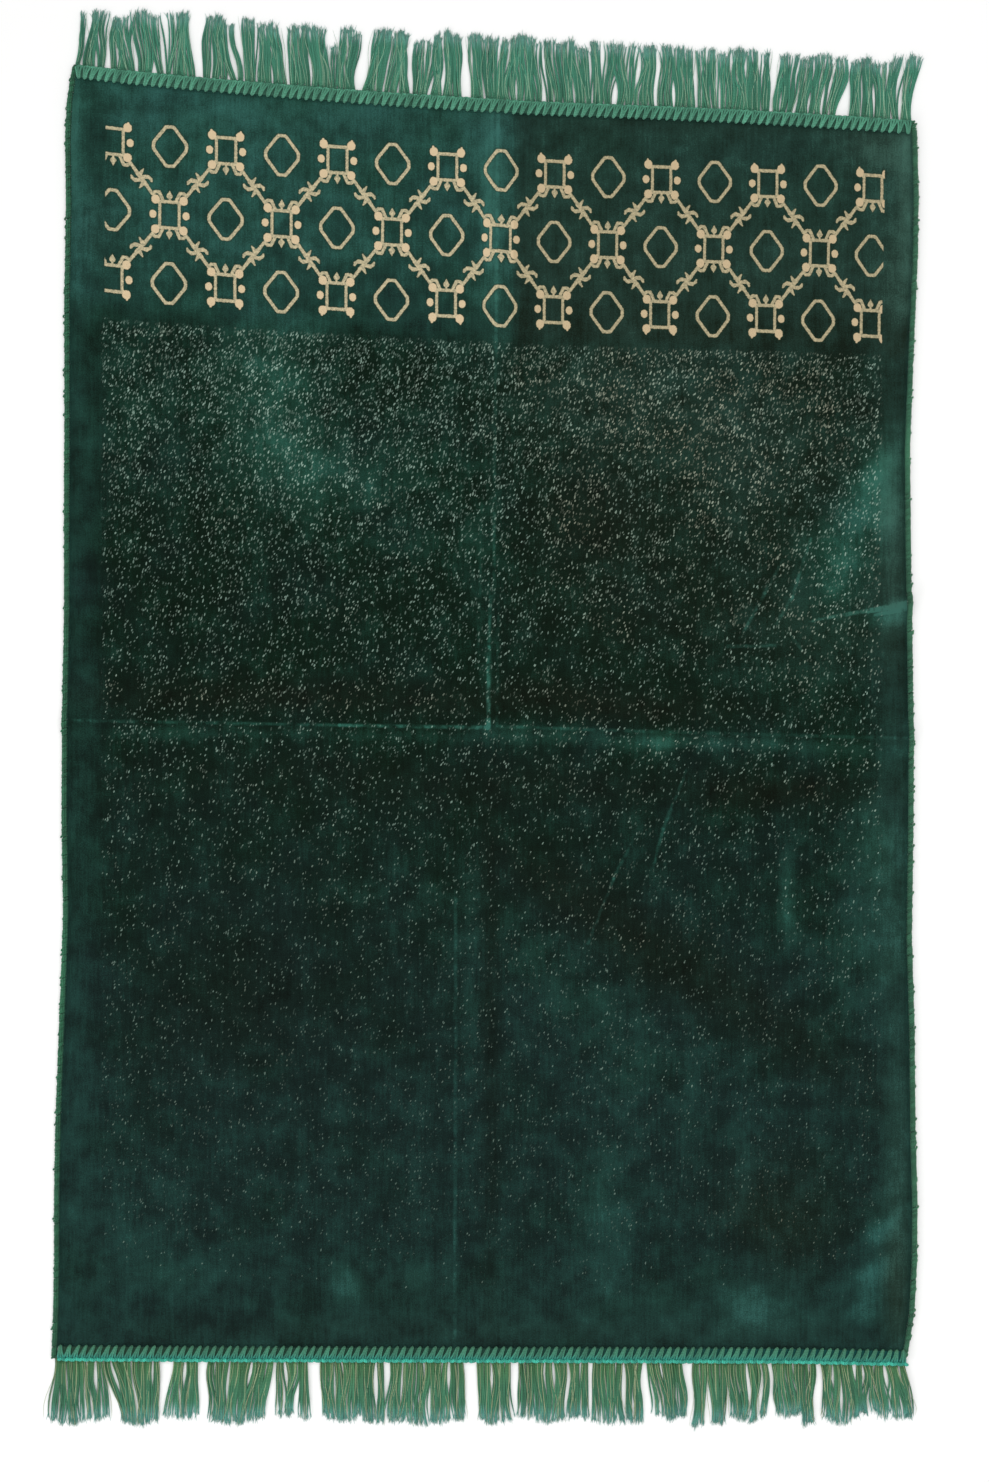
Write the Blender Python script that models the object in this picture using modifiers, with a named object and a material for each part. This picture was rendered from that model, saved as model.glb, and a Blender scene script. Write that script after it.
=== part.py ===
"""A velour prayer rug that lies flat, as seen from above: +Y is the patterned end, +X the right side, +Z up.

A cut-pile panel with its fold creases, serged side edges, whip-stitched headings and a fringe at both ends.
Every table below is in millimetres from the middle of the rug, and the solids are in metres.
"""
import math
import random

import bmesh
import bpy

MM = 0.001
GAP = 0.3  # between two pieces that are sewn to each other

# Thicknesses
PANEL_THICK = 4.0
BINDING_WIDE = 4.2
BINDING_THICK = 4.4
HEADING_WIDE = 9.6
STRIP_WIDE = 2.2
STRIP_THICK = 2.6

# The panel's own edge, sewn pieces left out. A fraction of 0 is the left side or the bottom end, 1 the other one.
# The first and the last row of SIDES lie past the panel, where the side bindings pass the headings.
#        fraction, left x, right x
SIDES = [
    (-0.012, -354.2, 342.6),
    (0.00, -353.6, 345.5),
    (0.03, -352.5, 350.3),
    (0.07, -351.8, 352.6),
    (0.12, -351.8, 353.0),
    (0.18, -350.6, 351.4),
    (0.26, -347.4, 350.7),
    (0.34, -344.3, 348.4),
    (0.42, -345.6, 349.6),
    (0.50, -345.1, 350.1),
    (0.58, -343.5, 348.9),
    (0.66, -343.5, 347.6),
    (0.74, -343.2, 346.9),
    (0.82, -343.3, 350.0),
    (0.90, -341.9, 353.5),
    (0.95, -342.6, 354.1),
    (0.98, -341.3, 353.3),
    (1.00, -338.3, 352.7),
    (1.012, -335.8, 350.4),
]
#        fraction, bottom y, top y
ENDS = [
    (0.00, -519.5, 530.1),
    (0.06, -519.8, 525.2),
    (0.14, -520.2, 520.0),
    (0.22, -520.4, 515.3),
    (0.30, -520.5, 510.8),
    (0.38, -520.7, 506.7),
    (0.46, -520.8, 503.3),
    (0.54, -521.0, 499.8),
    (0.62, -521.1, 497.7),
    (0.70, -521.3, 495.6),
    (0.78, -521.4, 493.2),
    (0.86, -521.6, 490.2),
    (0.94, -522.7, 486.7),
    (1.00, -523.6, 483.8),
]

# Ridges left by folding the rug in quarters, and the wrinkles of the right side.
# A ridge runs from (x0, y0) to (x1, y1) with these heights at its ends, and falls to nothing at half_wide.
#        x0, y0, x1, y1, height0, height1, half_wide
FOLDS = [
    (-370, -2, 4, -8, 2.6, 3.2, 15),  # half fold, left
    (4, -8, 370, -17, 3.2, 2.4, 15),  # half fold, right
    (4, -8, 7, 98, 4.0, 3.2, 13),  # quarter fold, sharpest stretch
    (7, 98, 12, 520, 3.2, 1.2, 13),  # quarter fold, up to the top end
    (1, -8, 0, -540, 2.2, 0.9, 12),  # quarter fold, lower half
    (-24, -12, -25, -540, 0.9, 0.5, 8),  # its faint second line
    (258, 76, 372, 98, 0.6, 7.0, 15),  # deep wrinkle at the right edge
    (211, 65, 253, 131, 2.8, 0.4, 10),
    (172, 60, 246, 61, 0.6, 2.2, 9),
    (141, -118, 166, -60, 2.2, 0.6, 10),
    (83, -188, 128, -101, 2.8, 0.6, 10),
    (311, 230, 261, 131, 0.4, 1.8, 14),
]
# How a ridge falls away from its crest.
#        part of half_wide, part of height
RIDGE = [
    (0.0, 1.00),
    (0.4, 0.50),
    (1.0, 0.00),
]

# Section of a serged side edge, from the panel outwards.
#        part of width, part of thickness
BINDING_SECTION = [
    (0.00, 0.00),
    (0.70, 0.00),
    (1.00, 0.30),
    (1.00, 0.66),
    (0.62, 1.00),
    (0.00, 0.92),
]
BINDING_STEP = 30.0
NEAREST_STATIONS = 1.0

# Section of a heading, from the fringe to the panel, on a stitch's crest and in the groove beside it.
#        crest part of width, crest height, groove part of width, groove height
HEADING_SECTION = [
    (0.00, 0.0, 0.00, 0.0),
    (0.03, 3.5, 0.05, 3.1),
    (0.50, 5.2, 0.48, 3.6),
    (0.97, 4.2, 0.80, 2.5),
    (1.00, 0.0, 1.00, 0.0),
]
TOP_STITCHES = 109
BOTTOM_STITCHES = 112
STITCH_SLANT = 3.8  # how far a stitch leans to the right over the heading's width
STRAIGHT_STITCHES = 1.5  # how many at each end take up the slant

# The fringe in locks of yarn bundles. A lock leaves the strip between root0 and root1 and ends between tip0 and
# tip1, at tip_y. Its bundles share that room.
#        root0, root1, tip0, tip1, tip_y, bundles
TOP_LOCKS = [
    (-340, -336, -334, -331, 587, 1),
    (-333, -322, -324, -321, 587, 2),
    (-321, -315, -319, -313, 587, 1),
    (-310, -295, -308, -302, 581, 3),
    (-295, -289, -301, -290, 582, 1),
    (-287, -276, -288, -280, 587, 2),
    (-271, -265, -278, -274, 584, 1),
    (-264, -260, -265, -258, 585, 1),
    (-259, -239, -252, -244, 587, 3),
    (-234, -213, -226, -217, 584, 3),
    (-210, -200, -215, -210, 578, 2),
    (-199, -190, -200, -191, 581, 2),
    (-189, -163, -188, -171, 577, 4),
    (-161, -144, -163, -148, 576, 3),
    (-144, -128, -147, -133, 574, 3),
    (-128, -123, -130, -123, 559, 1),
    (-122, -107, -120, -104, 573, 3),
    (-103, -85, -91, -77, 573, 3),
    (-84, -61, -75, -63, 571, 4),
    (-60, -48, -60, -41, 563, 3),
    (-46, -19, -40, -24, 570, 5),
    (-12, 0, -15, -5, 568, 2),
    (1, 11, -3, 12, 566, 2),
    (11, 47, 15, 41, 567, 7),
    (51, 64, 45, 61, 563, 2),
    (65, 79, 63, 73, 563, 3),
    (79, 88, 75, 85, 558, 2),
    (89, 98, 89, 95, 562, 2),
    (98, 106, 99, 107, 563, 1),
    (108, 122, 110, 122, 560, 2),
    (123, 141, 130, 140, 559, 3),
    (143, 156, 147, 153, 559, 2),
    (157, 175, 157, 173, 557, 3),
    (176, 194, 177, 190, 557, 3),
    (195, 228, 199, 226, 556, 6),
    (228, 236, 228, 233, 554, 1),
    (238, 254, 244, 260, 551, 3),
    (256, 290, 263, 300, 551, 6),
    (300, 327, 303, 323, 548, 5),
    (328, 336, 327, 340, 545, 2),
    (337, 354, 341, 362, 552, 3),
]
BOTTOM_LOCKS = [
    (-356, -331, -361, -329, -586, 5),
    (-329, -316, -326, -309, -583, 2),
    (-316, -269, -302, -273, -587, 8),
    (-258, -237, -263, -239, -582, 4),
    (-229, -174, -229, -185, -586, 9),
    (-173, -153, -173, -158, -580, 3),
    (-153, -146, -153, -145, -582, 1),
    (-137, -102, -135, -102, -584, 6),
    (-102, -84, -100, -84, -586, 3),
    (-79, -18, -82, -16, -587, 11),
    (-7, 22, -5, 22, -586, 5),
    (27, 79, 29, 78, -585, 9),
    (79, 87, 79, 85, -583, 1),
    (89, 108, 90, 113, -586, 3),
    (109, 131, 115, 132, -586, 4),
    (133, 163, 141, 166, -583, 5),
    (172, 183, 174, 182, -588, 2),
    (183, 199, 188, 197, -587, 3),
    (199, 233, 203, 230, -584, 6),
    (236, 261, 240, 265, -580, 4),
    (261, 274, 266, 274, -587, 2),
    (276, 304, 279, 307, -586, 5),
    (307, 321, 309, 326, -578, 3),
    (323, 336, 330, 344, -582, 2),
    (337, 347, 345, 356, -580, 2),
]
# Sections of a yarn bundle past its root, as it flattens towards its tip.
#        part of length, thickness, widest
BUNDLE_SECTIONS = [
    (0.14, 2.5, 5.4),
    (0.60, 2.1, 4.8),
    (1.00, 1.2, 3.4),
]
BUNDLE_GAP = 0.7
TIP_UNEVEN = 5.0  # a bundle may end this much short of its lock's tip


def side_x(side, y):
    """Where the panel's side lies at y: side -1 for the left and 1 for the right."""
    corner = ENDS[0] if side < 0 else ENDS[-1]
    along = (y - corner[1]) / (corner[2] - corner[1])
    return between(SIDES, along, 1 if side < 0 else 2)


def between(table, at, column):
    """The value of a table's column at a fraction, on the straight line between rows."""
    rows = list(zip(table, table[1:]))
    for low, high in rows:
        if at <= high[0]:
            break
    part = (at - low[0]) / (high[0] - low[0])
    return low[column] + part * (high[column] - low[column])


def on_panel(across, along):
    """The place in the panel's plane at a fraction of its width and a fraction of its length."""
    left, right = between(SIDES, along, 1), between(SIDES, along, 2)
    bottom, top = between(ENDS, across, 1), between(ENDS, across, 2)
    return left + across * (right - left), bottom + along * (top - bottom)


def fold_height(x, y):
    """How far the folds lift the cloth off the floor at a place."""
    lift = 0.0
    for x0, y0, x1, y1, height0, height1, half_wide in FOLDS:
        run_x, run_y = x1 - x0, y1 - y0
        length = math.hypot(run_x, run_y)
        part = ((x - x0) * run_x + (y - y0) * run_y) / length**2
        part = min(max(part, 0.0), 1.0)
        away = math.hypot(x - x0 - part * run_x, y - y0 - part * run_y) / half_wide
        if away < 1.0:
            crest = height0 + part * (height1 - height0)
            lift = max(lift, crest * between(RIDGE, away, 1))
    return lift


def material(name, colour, roughness):
    made = bpy.data.materials.new(name)
    made.use_nodes = True
    shader = made.node_tree.nodes["Principled BSDF"]
    shader.inputs["Base Color"].default_value = (*colour, 1.0)
    shader.inputs["Roughness"].default_value = roughness
    shader.inputs["Metallic"].default_value = 0.0
    return made


def add_object(name, bm, made_of, collection, parent):
    """Turns millimetres into metres and puts the mesh in the rug as an object."""
    bmesh.ops.scale(bm, vec=(MM, MM, MM), verts=bm.verts)
    mesh = bpy.data.meshes.new(name)
    bm.to_mesh(mesh)
    bm.free()
    mesh.materials.append(made_of)
    mesh.shade_smooth()
    mesh.set_sharp_from_angle(angle=math.radians(40))
    obj = bpy.data.objects.new(name, mesh)
    collection.objects.link(obj)
    obj.parent = parent
    return obj


def loft(sections):
    """A closed skin through sections of equal point counts: the mesh, and the points of each section."""
    bm = bmesh.new()
    rings = [[bm.verts.new(point) for point in section] for section in sections]
    for ring, following in zip(rings, rings[1:]):
        for here in range(len(ring)):
            beside = (here + 1) % len(ring)
            bm.faces.new((ring[here], ring[beside], following[beside], following[here]))
    bm.faces.new(rings[0])
    bm.faces.new(rings[-1][::-1])
    return bm, rings


def score_fold(bm, fold):
    """Cuts the sheet's faces along a ridge's crest and flanks, so that the ridge can rise from them."""
    x0, y0, x1, y1, _, _, half_wide = fold
    length = math.hypot(x1 - x0, y1 - y0)
    ahead = ((x1 - x0) / length, (y1 - y0) / length)
    aside = (-ahead[1], ahead[0], 0.0)
    reach = half_wide + 20.0
    parts = sorted({sign * part for part, _ in RIDGE for sign in (-1, 1)})
    for part in parts:
        near = set()
        for face in bm.faces:
            centre = face.calc_center_median()
            along = (centre.x - x0) * ahead[0] + (centre.y - y0) * ahead[1]
            away = (centre.x - x0) * aside[0] + (centre.y - y0) * aside[1]
            if -half_wide < along < length + half_wide and abs(away) < reach:
                near.update((face, *face.edges, *face.verts))
        offset = part * half_wide
        start = (x0 + aside[0] * offset, y0 + aside[1] * offset, 0.0)
        bmesh.ops.bisect_plane(bm, geom=list(near), dist=0.05, plane_co=start, plane_no=aside)


def velour_panel():
    """The woven panel as a sheet over its folds, which a Solidify modifier thickens upwards."""
    rows = [row[0] for row in SIDES if 0.0 <= row[0] <= 1.0]
    columns = [row[0] for row in ENDS]
    bm = bmesh.new()
    bmesh.ops.create_grid(bm, x_segments=len(columns) - 1, y_segments=len(rows) - 1, size=0.5)
    for vert in bm.verts:
        across = columns[round((vert.co.x + 0.5) * (len(columns) - 1))]
        along = rows[round((vert.co.y + 0.5) * (len(rows) - 1))]
        vert.co.x, vert.co.y = on_panel(across, along)
    for fold in FOLDS:
        score_fold(bm, fold)
    bmesh.ops.triangulate(bm, faces=bm.faces)
    for vert in bm.verts:
        vert.co.z = fold_height(vert.co.x, vert.co.y)
    bmesh.ops.recalc_face_normals(bm, faces=bm.faces)
    if sum(face.normal.z for face in bm.faces) < 0:
        bmesh.ops.reverse_faces(bm, faces=bm.faces)
    return bm


def fold_stations(column, start, stop):
    """Where ridges meet an edge of the panel that runs along x (column 0) or y (column 1)."""
    stations = []
    for fold in FOLDS:
        for place in (fold[column], fold[column + 2]):
            stations += [place + sign * part * fold[6] for part, _ in RIDGE for sign in (-1, 1)]
    return [place for place in stations if start < place < stop]


def side_binding(side):
    """A serged edge, side -1 for the left one and 1 for the right one."""
    _, start_y, end_y = ENDS[0] if side < 0 else ENDS[-1]
    length = end_y - start_y
    beyond = (GAP + HEADING_WIDE) / length
    steps = int(length / BINDING_STEP)
    fractions = {row[0] for row in SIDES if 0.0 <= row[0] <= 1.0} | {-beyond, 1.0 + beyond}
    fractions |= {step / steps for step in range(steps + 1)}
    fractions |= {(place - start_y) / length for place in fold_stations(1, start_y, end_y)}
    sections = []
    last_y = -math.inf
    for along in sorted(fractions):
        y = start_y + along * length
        if y - last_y < NEAREST_STATIONS:
            continue
        last_y = y
        edge = side_x(side, y)
        lift = fold_height(edge, y)
        sections.append(
            [
                (edge + side * (GAP + part * BINDING_WIDE), y, lift + thick * BINDING_THICK)
                for part, thick in BINDING_SECTION
            ]
        )
    bm, _ = loft(sections)
    bmesh.ops.recalc_face_normals(bm, faces=bm.faces)
    return bm


def end_line(x, end):
    """The panel's own end line at x: end -1 for the bottom and 1 for the top."""
    along = (end + 1) / 2
    left, right = between(SIDES, along, 1), between(SIDES, along, 2)
    return between(ENDS, (x - left) / (right - left), 1 if end < 0 else 2)


def heading(end, stitches):
    """A whip-stitched heading: a low roll whose every stitch is a slanted rib."""
    corner_y = [row[1 if end < 0 else 2] for row in (ENDS[0], ENDS[-1])]
    sections = []
    for half_stitch in range(2 * stitches + 1):
        share = half_stitch / (2 * stitches)
        crest = half_stitch % 2 == 1
        ease = min(1.0, share * stitches / STRAIGHT_STITCHES, (1 - share) * stitches / STRAIGHT_STITCHES)
        section = []
        for crest_part, crest_height, groove_part, groove_height in HEADING_SECTION:
            part = crest_part if crest else groove_part
            height = crest_height if crest else groove_height
            outward = end * (GAP + (1.0 - part) * HEADING_WIDE)
            left, right = (side_x(side, y + outward) for side, y in zip((-1, 1), corner_y))
            lean = end * STITCH_SLANT * (0.5 - part) * ease
            x = left + share * (right - left) + lean
            y = end_line(x, end) + outward
            section.append((x, y, fold_height(x, y) + height))
        sections.append(section)
    bm, _ = loft(sections)
    bmesh.ops.recalc_face_normals(bm, faces=bm.faces)
    return bm


def root_line(x, end):
    """The outer side of the strip that a fringe hangs from."""
    return end_line(x, end) + end * (2 * GAP + HEADING_WIDE + STRIP_WIDE)


def pull_bundle(bm, root_face, edges_at, tip_y, end):
    """Draws one yarn bundle out of its root, to its tip."""
    face = root_face
    start_y = face.calc_center_median().y
    for part, thick, widest in BUNDLE_SECTIONS:
        low, high = edges_at(part)
        middle, half = (low + high) / 2, min((high - low - BUNDLE_GAP) / 2, widest / 2)
        face = bmesh.ops.extrude_discrete_faces(bm, faces=[face])["faces"][0]
        centre = face.calc_center_median()
        for vert in face.verts:
            vert.co.x = middle + (half if vert.co.x > centre.x else -half)
            vert.co.z = thick if vert.co.z > centre.z else 0.0
            vert.co.y = start_y + part * (tip_y - start_y)


def fringe(end, locks, seed):
    """A narrow strip along the heading and the bundles that grow out of it."""
    uneven = random.Random(seed)
    bundles = []
    for root0, root1, tip0, tip1, tip_y, count in locks:
        for place in range(count):
            low = (place / count, root0, root1, tip0, tip1)
            high = ((place + 1) / count, root0, root1, tip0, tip1)
            short = uneven.random() * TIP_UNEVEN
            bundles.append((low, high, tip_y - end * short))

    def edge_at(edge, part):
        share, root0, root1, tip0, tip1 = edge
        root = root0 + share * (root1 - root0)
        tip = tip0 + share * (tip1 - tip0)
        ease = part * part * (3 - 2 * part)
        return root + ease * (tip - root)

    row = SIDES[0] if end < 0 else SIDES[-1]
    ends = [row[1] - GAP - BINDING_WIDE, row[2] + GAP + BINDING_WIDE]
    places = {round(edge_at(edge, 0.0), 3) for bundle in bundles for edge in bundle[:2]}
    places = sorted(places | set(ends))
    places = [place for place in places if ends[0] <= place <= ends[1]]
    sections = []
    for x in places:
        outer = root_line(x, end)
        inner = outer - end * STRIP_WIDE
        sections.append([(x, outer, 0.0), (x, inner, 0.0), (x, inner, STRIP_THICK), (x, outer, STRIP_THICK)])
    bm, rings = loft(sections)
    ring_at = dict(zip(places, rings))
    for low, high, tip_y in bundles:
        first, second = (ring_at.get(round(edge_at(edge, 0.0), 3)) for edge in (low, high))
        if first is None or second is None:
            continue
        face = bm.faces.get((first[0], second[0], second[3], first[3]))
        pull_bundle(bm, face, lambda part: (edge_at(low, part), edge_at(high, part)), tip_y, end)
    bmesh.ops.recalc_face_normals(bm, faces=bm.faces)
    return bm


def main():
    for obj in list(bpy.data.objects):
        bpy.data.objects.remove(obj)
    collection = bpy.data.collections.new("Prayer rug")
    bpy.context.scene.collection.children.link(collection)
    rug = bpy.data.objects.new("rug_frame", None)
    collection.objects.link(rug)

    velour = material("Velour", (0.012, 0.045, 0.036), 0.9)
    binding = material("Serging yarn", (0.05, 0.16, 0.11), 0.8)
    whip_yarn = material("Whip stitch yarn", (0.055, 0.2, 0.14), 0.75)
    fringe_yarn = material("Fringe yarn", (0.07, 0.21, 0.14), 0.75)

    panel = add_object("velour_panel", velour_panel(), velour, collection, rug)
    thicken = panel.modifiers.new("Thickness", "SOLIDIFY")
    thicken.thickness = PANEL_THICK * MM
    thicken.offset = 1.0

    add_object("side_binding_left", side_binding(-1), binding, collection, rug)
    add_object("side_binding_right", side_binding(1), binding, collection, rug)
    add_object("heading_top", heading(1, TOP_STITCHES), whip_yarn, collection, rug)
    add_object("heading_bottom", heading(-1, BOTTOM_STITCHES), whip_yarn, collection, rug)
    add_object("fringe_top", fringe(1, TOP_LOCKS, seed=7), fringe_yarn, collection, rug)
    add_object("fringe_bottom", fringe(-1, BOTTOM_LOCKS, seed=11), fringe_yarn, collection, rug)


main()
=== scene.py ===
"""Looks of the velour prayer rug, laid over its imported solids.

Tables are in millimetres from the middle of the rug, with +Y the patterned end, and meshes are in metres.
"""
import math
from collections import namedtuple

import bpy
import numpy as np
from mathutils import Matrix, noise


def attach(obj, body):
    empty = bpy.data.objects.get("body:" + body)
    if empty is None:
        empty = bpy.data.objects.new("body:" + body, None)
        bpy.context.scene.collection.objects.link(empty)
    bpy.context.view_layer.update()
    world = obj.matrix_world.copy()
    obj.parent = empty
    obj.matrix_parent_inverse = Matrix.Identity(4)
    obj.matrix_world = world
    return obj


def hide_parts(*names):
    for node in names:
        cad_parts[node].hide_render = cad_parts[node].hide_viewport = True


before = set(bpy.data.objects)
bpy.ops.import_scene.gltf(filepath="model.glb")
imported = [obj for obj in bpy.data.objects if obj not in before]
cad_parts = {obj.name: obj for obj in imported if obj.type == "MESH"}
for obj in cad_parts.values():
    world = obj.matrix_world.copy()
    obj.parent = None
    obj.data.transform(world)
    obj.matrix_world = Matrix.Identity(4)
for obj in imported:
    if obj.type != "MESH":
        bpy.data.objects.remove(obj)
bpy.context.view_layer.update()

MM = 0.001

# ---------------------------------------------------------------- the rug's own sizes, as in the solids

GAP = 0.3  # between two sewn pieces
PANEL_THICK = 4.0
BINDING_WIDE = 4.2
HEADING_WIDE = 9.6
STRIP_WIDE = 2.2  # the strip that a fringe hangs from
TOP_STITCHES = 109
BOTTOM_STITCHES = 112
STITCH_SLANT = 3.8  # how far a stitch runs along the heading while it crosses it
# Where each heading's left and right end lie along the rug.
HEADING_CORNERS = {1: (525.0, 484.0), -1: (-525.0, -505.0)}

# Yarns and stray hairs in one fringe bundle.
BUNDLE_YARNS = 9
BUNDLE_HAIRS = 2

# How many rings of points each yarn has along it, and the cord or roll under the stitches.
CORE_RINGS = 102
STITCH_RINGS = 9
LINK_RINGS = 6
FRINGE_RINGS = 9
FRAY_RINGS = 4

# What wanders at random, such as a stitch's lean and a yarn's waves, is drawn from this one start.
DRAWS_START = 41

# The panel's own edge. The first and the last row of SIDES lie past the panel.
#        fraction, left x, right x
SIDES = [
    (-0.012, -354.2, 342.6),
    (0.00, -353.6, 345.5),
    (0.03, -352.5, 350.3),
    (0.07, -351.8, 352.6),
    (0.12, -351.8, 353.0),
    (0.18, -350.6, 351.4),
    (0.26, -347.4, 350.7),
    (0.34, -344.3, 348.4),
    (0.42, -345.6, 349.6),
    (0.50, -345.1, 350.1),
    (0.58, -343.5, 348.9),
    (0.66, -343.5, 347.6),
    (0.74, -343.2, 346.9),
    (0.82, -343.3, 350.0),
    (0.90, -341.9, 353.5),
    (0.95, -342.6, 354.1),
    (0.98, -341.3, 353.3),
    (1.00, -338.3, 352.7),
    (1.012, -335.8, 350.4),
]
#        fraction, bottom y, top y
ENDS = [
    (0.00, -519.5, 530.1),
    (0.06, -519.8, 525.2),
    (0.14, -520.2, 520.0),
    (0.22, -520.4, 515.3),
    (0.30, -520.5, 510.8),
    (0.38, -520.7, 506.7),
    (0.46, -520.8, 503.3),
    (0.54, -521.0, 499.8),
    (0.62, -521.1, 497.7),
    (0.70, -521.3, 495.6),
    (0.78, -521.4, 493.2),
    (0.86, -521.6, 490.2),
    (0.94, -522.7, 486.7),
    (1.00, -523.6, 483.8),
]
# Folds and wrinkles: start x, y, end x, y, height at the start and at the end, half width.
FOLDS = [
    (-370, -2, 4, -8, 2.6, 3.2, 15),
    (4, -8, 370, -17, 3.2, 2.4, 15),
    (4, -8, 7, 98, 4.0, 3.2, 13),
    (7, 98, 12, 520, 3.2, 1.2, 13),
    (1, -8, 0, -540, 2.2, 0.9, 12),
    (-24, -12, -25, -540, 0.9, 0.5, 8),
    (258, 76, 372, 98, 0.6, 7.0, 15),
    (211, 65, 253, 131, 2.8, 0.4, 10),
    (172, 60, 246, 61, 0.6, 2.2, 9),
    (141, -118, 166, -60, 2.2, 0.6, 10),
    (83, -188, 128, -101, 2.8, 0.6, 10),
    (311, 230, 261, 131, 0.4, 1.8, 14),
]
# Locks of fringe: their two sides at the root, their two sides at the tip, how far out the tip is, bundles.
TOP_LOCKS = [
    (-340, -336, -334, -331, 587, 1),
    (-333, -322, -324, -321, 587, 2),
    (-321, -315, -319, -313, 587, 1),
    (-310, -295, -308, -302, 581, 3),
    (-295, -289, -301, -290, 582, 1),
    (-287, -276, -288, -280, 587, 2),
    (-271, -265, -278, -274, 584, 1),
    (-264, -260, -265, -258, 585, 1),
    (-259, -239, -252, -244, 587, 3),
    (-234, -213, -226, -217, 584, 3),
    (-210, -200, -215, -210, 578, 2),
    (-199, -190, -200, -191, 581, 2),
    (-189, -163, -188, -171, 577, 4),
    (-161, -144, -163, -148, 576, 3),
    (-144, -128, -147, -133, 574, 3),
    (-128, -123, -130, -123, 559, 1),
    (-122, -107, -120, -104, 573, 3),
    (-103, -85, -91, -77, 573, 3),
    (-84, -61, -75, -63, 571, 4),
    (-60, -48, -60, -41, 563, 3),
    (-46, -19, -40, -24, 570, 5),
    (-12, 0, -15, -5, 568, 2),
    (1, 11, -3, 12, 566, 2),
    (11, 47, 15, 41, 567, 7),
    (51, 64, 45, 61, 563, 2),
    (65, 79, 63, 73, 563, 3),
    (79, 88, 75, 85, 558, 2),
    (89, 98, 89, 95, 562, 2),
    (98, 106, 99, 107, 563, 1),
    (108, 122, 110, 122, 560, 2),
    (123, 141, 130, 140, 559, 3),
    (143, 156, 147, 153, 559, 2),
    (157, 175, 157, 173, 557, 3),
    (176, 194, 177, 190, 557, 3),
    (195, 228, 199, 226, 556, 6),
    (228, 236, 228, 233, 554, 1),
    (238, 254, 244, 260, 551, 3),
    (256, 290, 263, 300, 551, 6),
    (300, 327, 303, 323, 548, 5),
    (328, 336, 327, 340, 545, 2),
    (337, 354, 341, 362, 552, 3),
]
BOTTOM_LOCKS = [
    (-356, -331, -361, -329, -586, 5),
    (-329, -316, -326, -309, -583, 2),
    (-316, -269, -302, -273, -587, 8),
    (-258, -237, -263, -239, -582, 4),
    (-229, -174, -229, -185, -586, 9),
    (-173, -153, -173, -158, -580, 3),
    (-153, -146, -153, -145, -582, 1),
    (-137, -102, -135, -102, -584, 6),
    (-102, -84, -100, -84, -586, 3),
    (-79, -18, -82, -16, -587, 11),
    (-7, 22, -5, 22, -586, 5),
    (27, 79, 29, 78, -585, 9),
    (79, 87, 79, 85, -583, 1),
    (89, 108, 90, 113, -586, 3),
    (109, 131, 115, 132, -586, 4),
    (133, 163, 141, 166, -583, 5),
    (172, 183, 174, 182, -588, 2),
    (183, 199, 188, 197, -587, 3),
    (199, 233, 203, 230, -584, 6),
    (236, 261, 240, 265, -580, 4),
    (261, 274, 266, 274, -587, 2),
    (276, 304, 279, 307, -586, 5),
    (307, 321, 309, 326, -578, 3),
    (323, 336, 330, 344, -582, 2),
    (337, 347, 345, 356, -580, 2),
]

# How far the woven band strays from even spacing: x, the stray across at its top and its bottom row, and
# the stray along at its top and its bottom row.
BAND_STRAY = [
    (-277, -1.1, -0.1, -1.2, -2.1),
    (-224, -0.8, 0.0, -0.5, -1.2),
    (-171, -0.8, 0.0, -0.3, -0.9),
    (-118, -0.7, 0.2, -0.3, -0.5),
    (-65, -0.7, 0.4, -0.5, -0.3),
    (-12, -0.6, 0.5, -0.1, -0.1),
    (41, 0.2, 1.3, -0.7, -0.3),
    (94, 0.3, 1.8, -1.8, -1.0),
    (147, 0.5, 2.1, -2.4, -1.1),
    (200, 0.3, 2.1, -2.2, -0.6),
    (253, -0.1, 1.9, -1.1, 0.1),
    (306, -0.5, 1.9, 0.1, 1.0),
]
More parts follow.
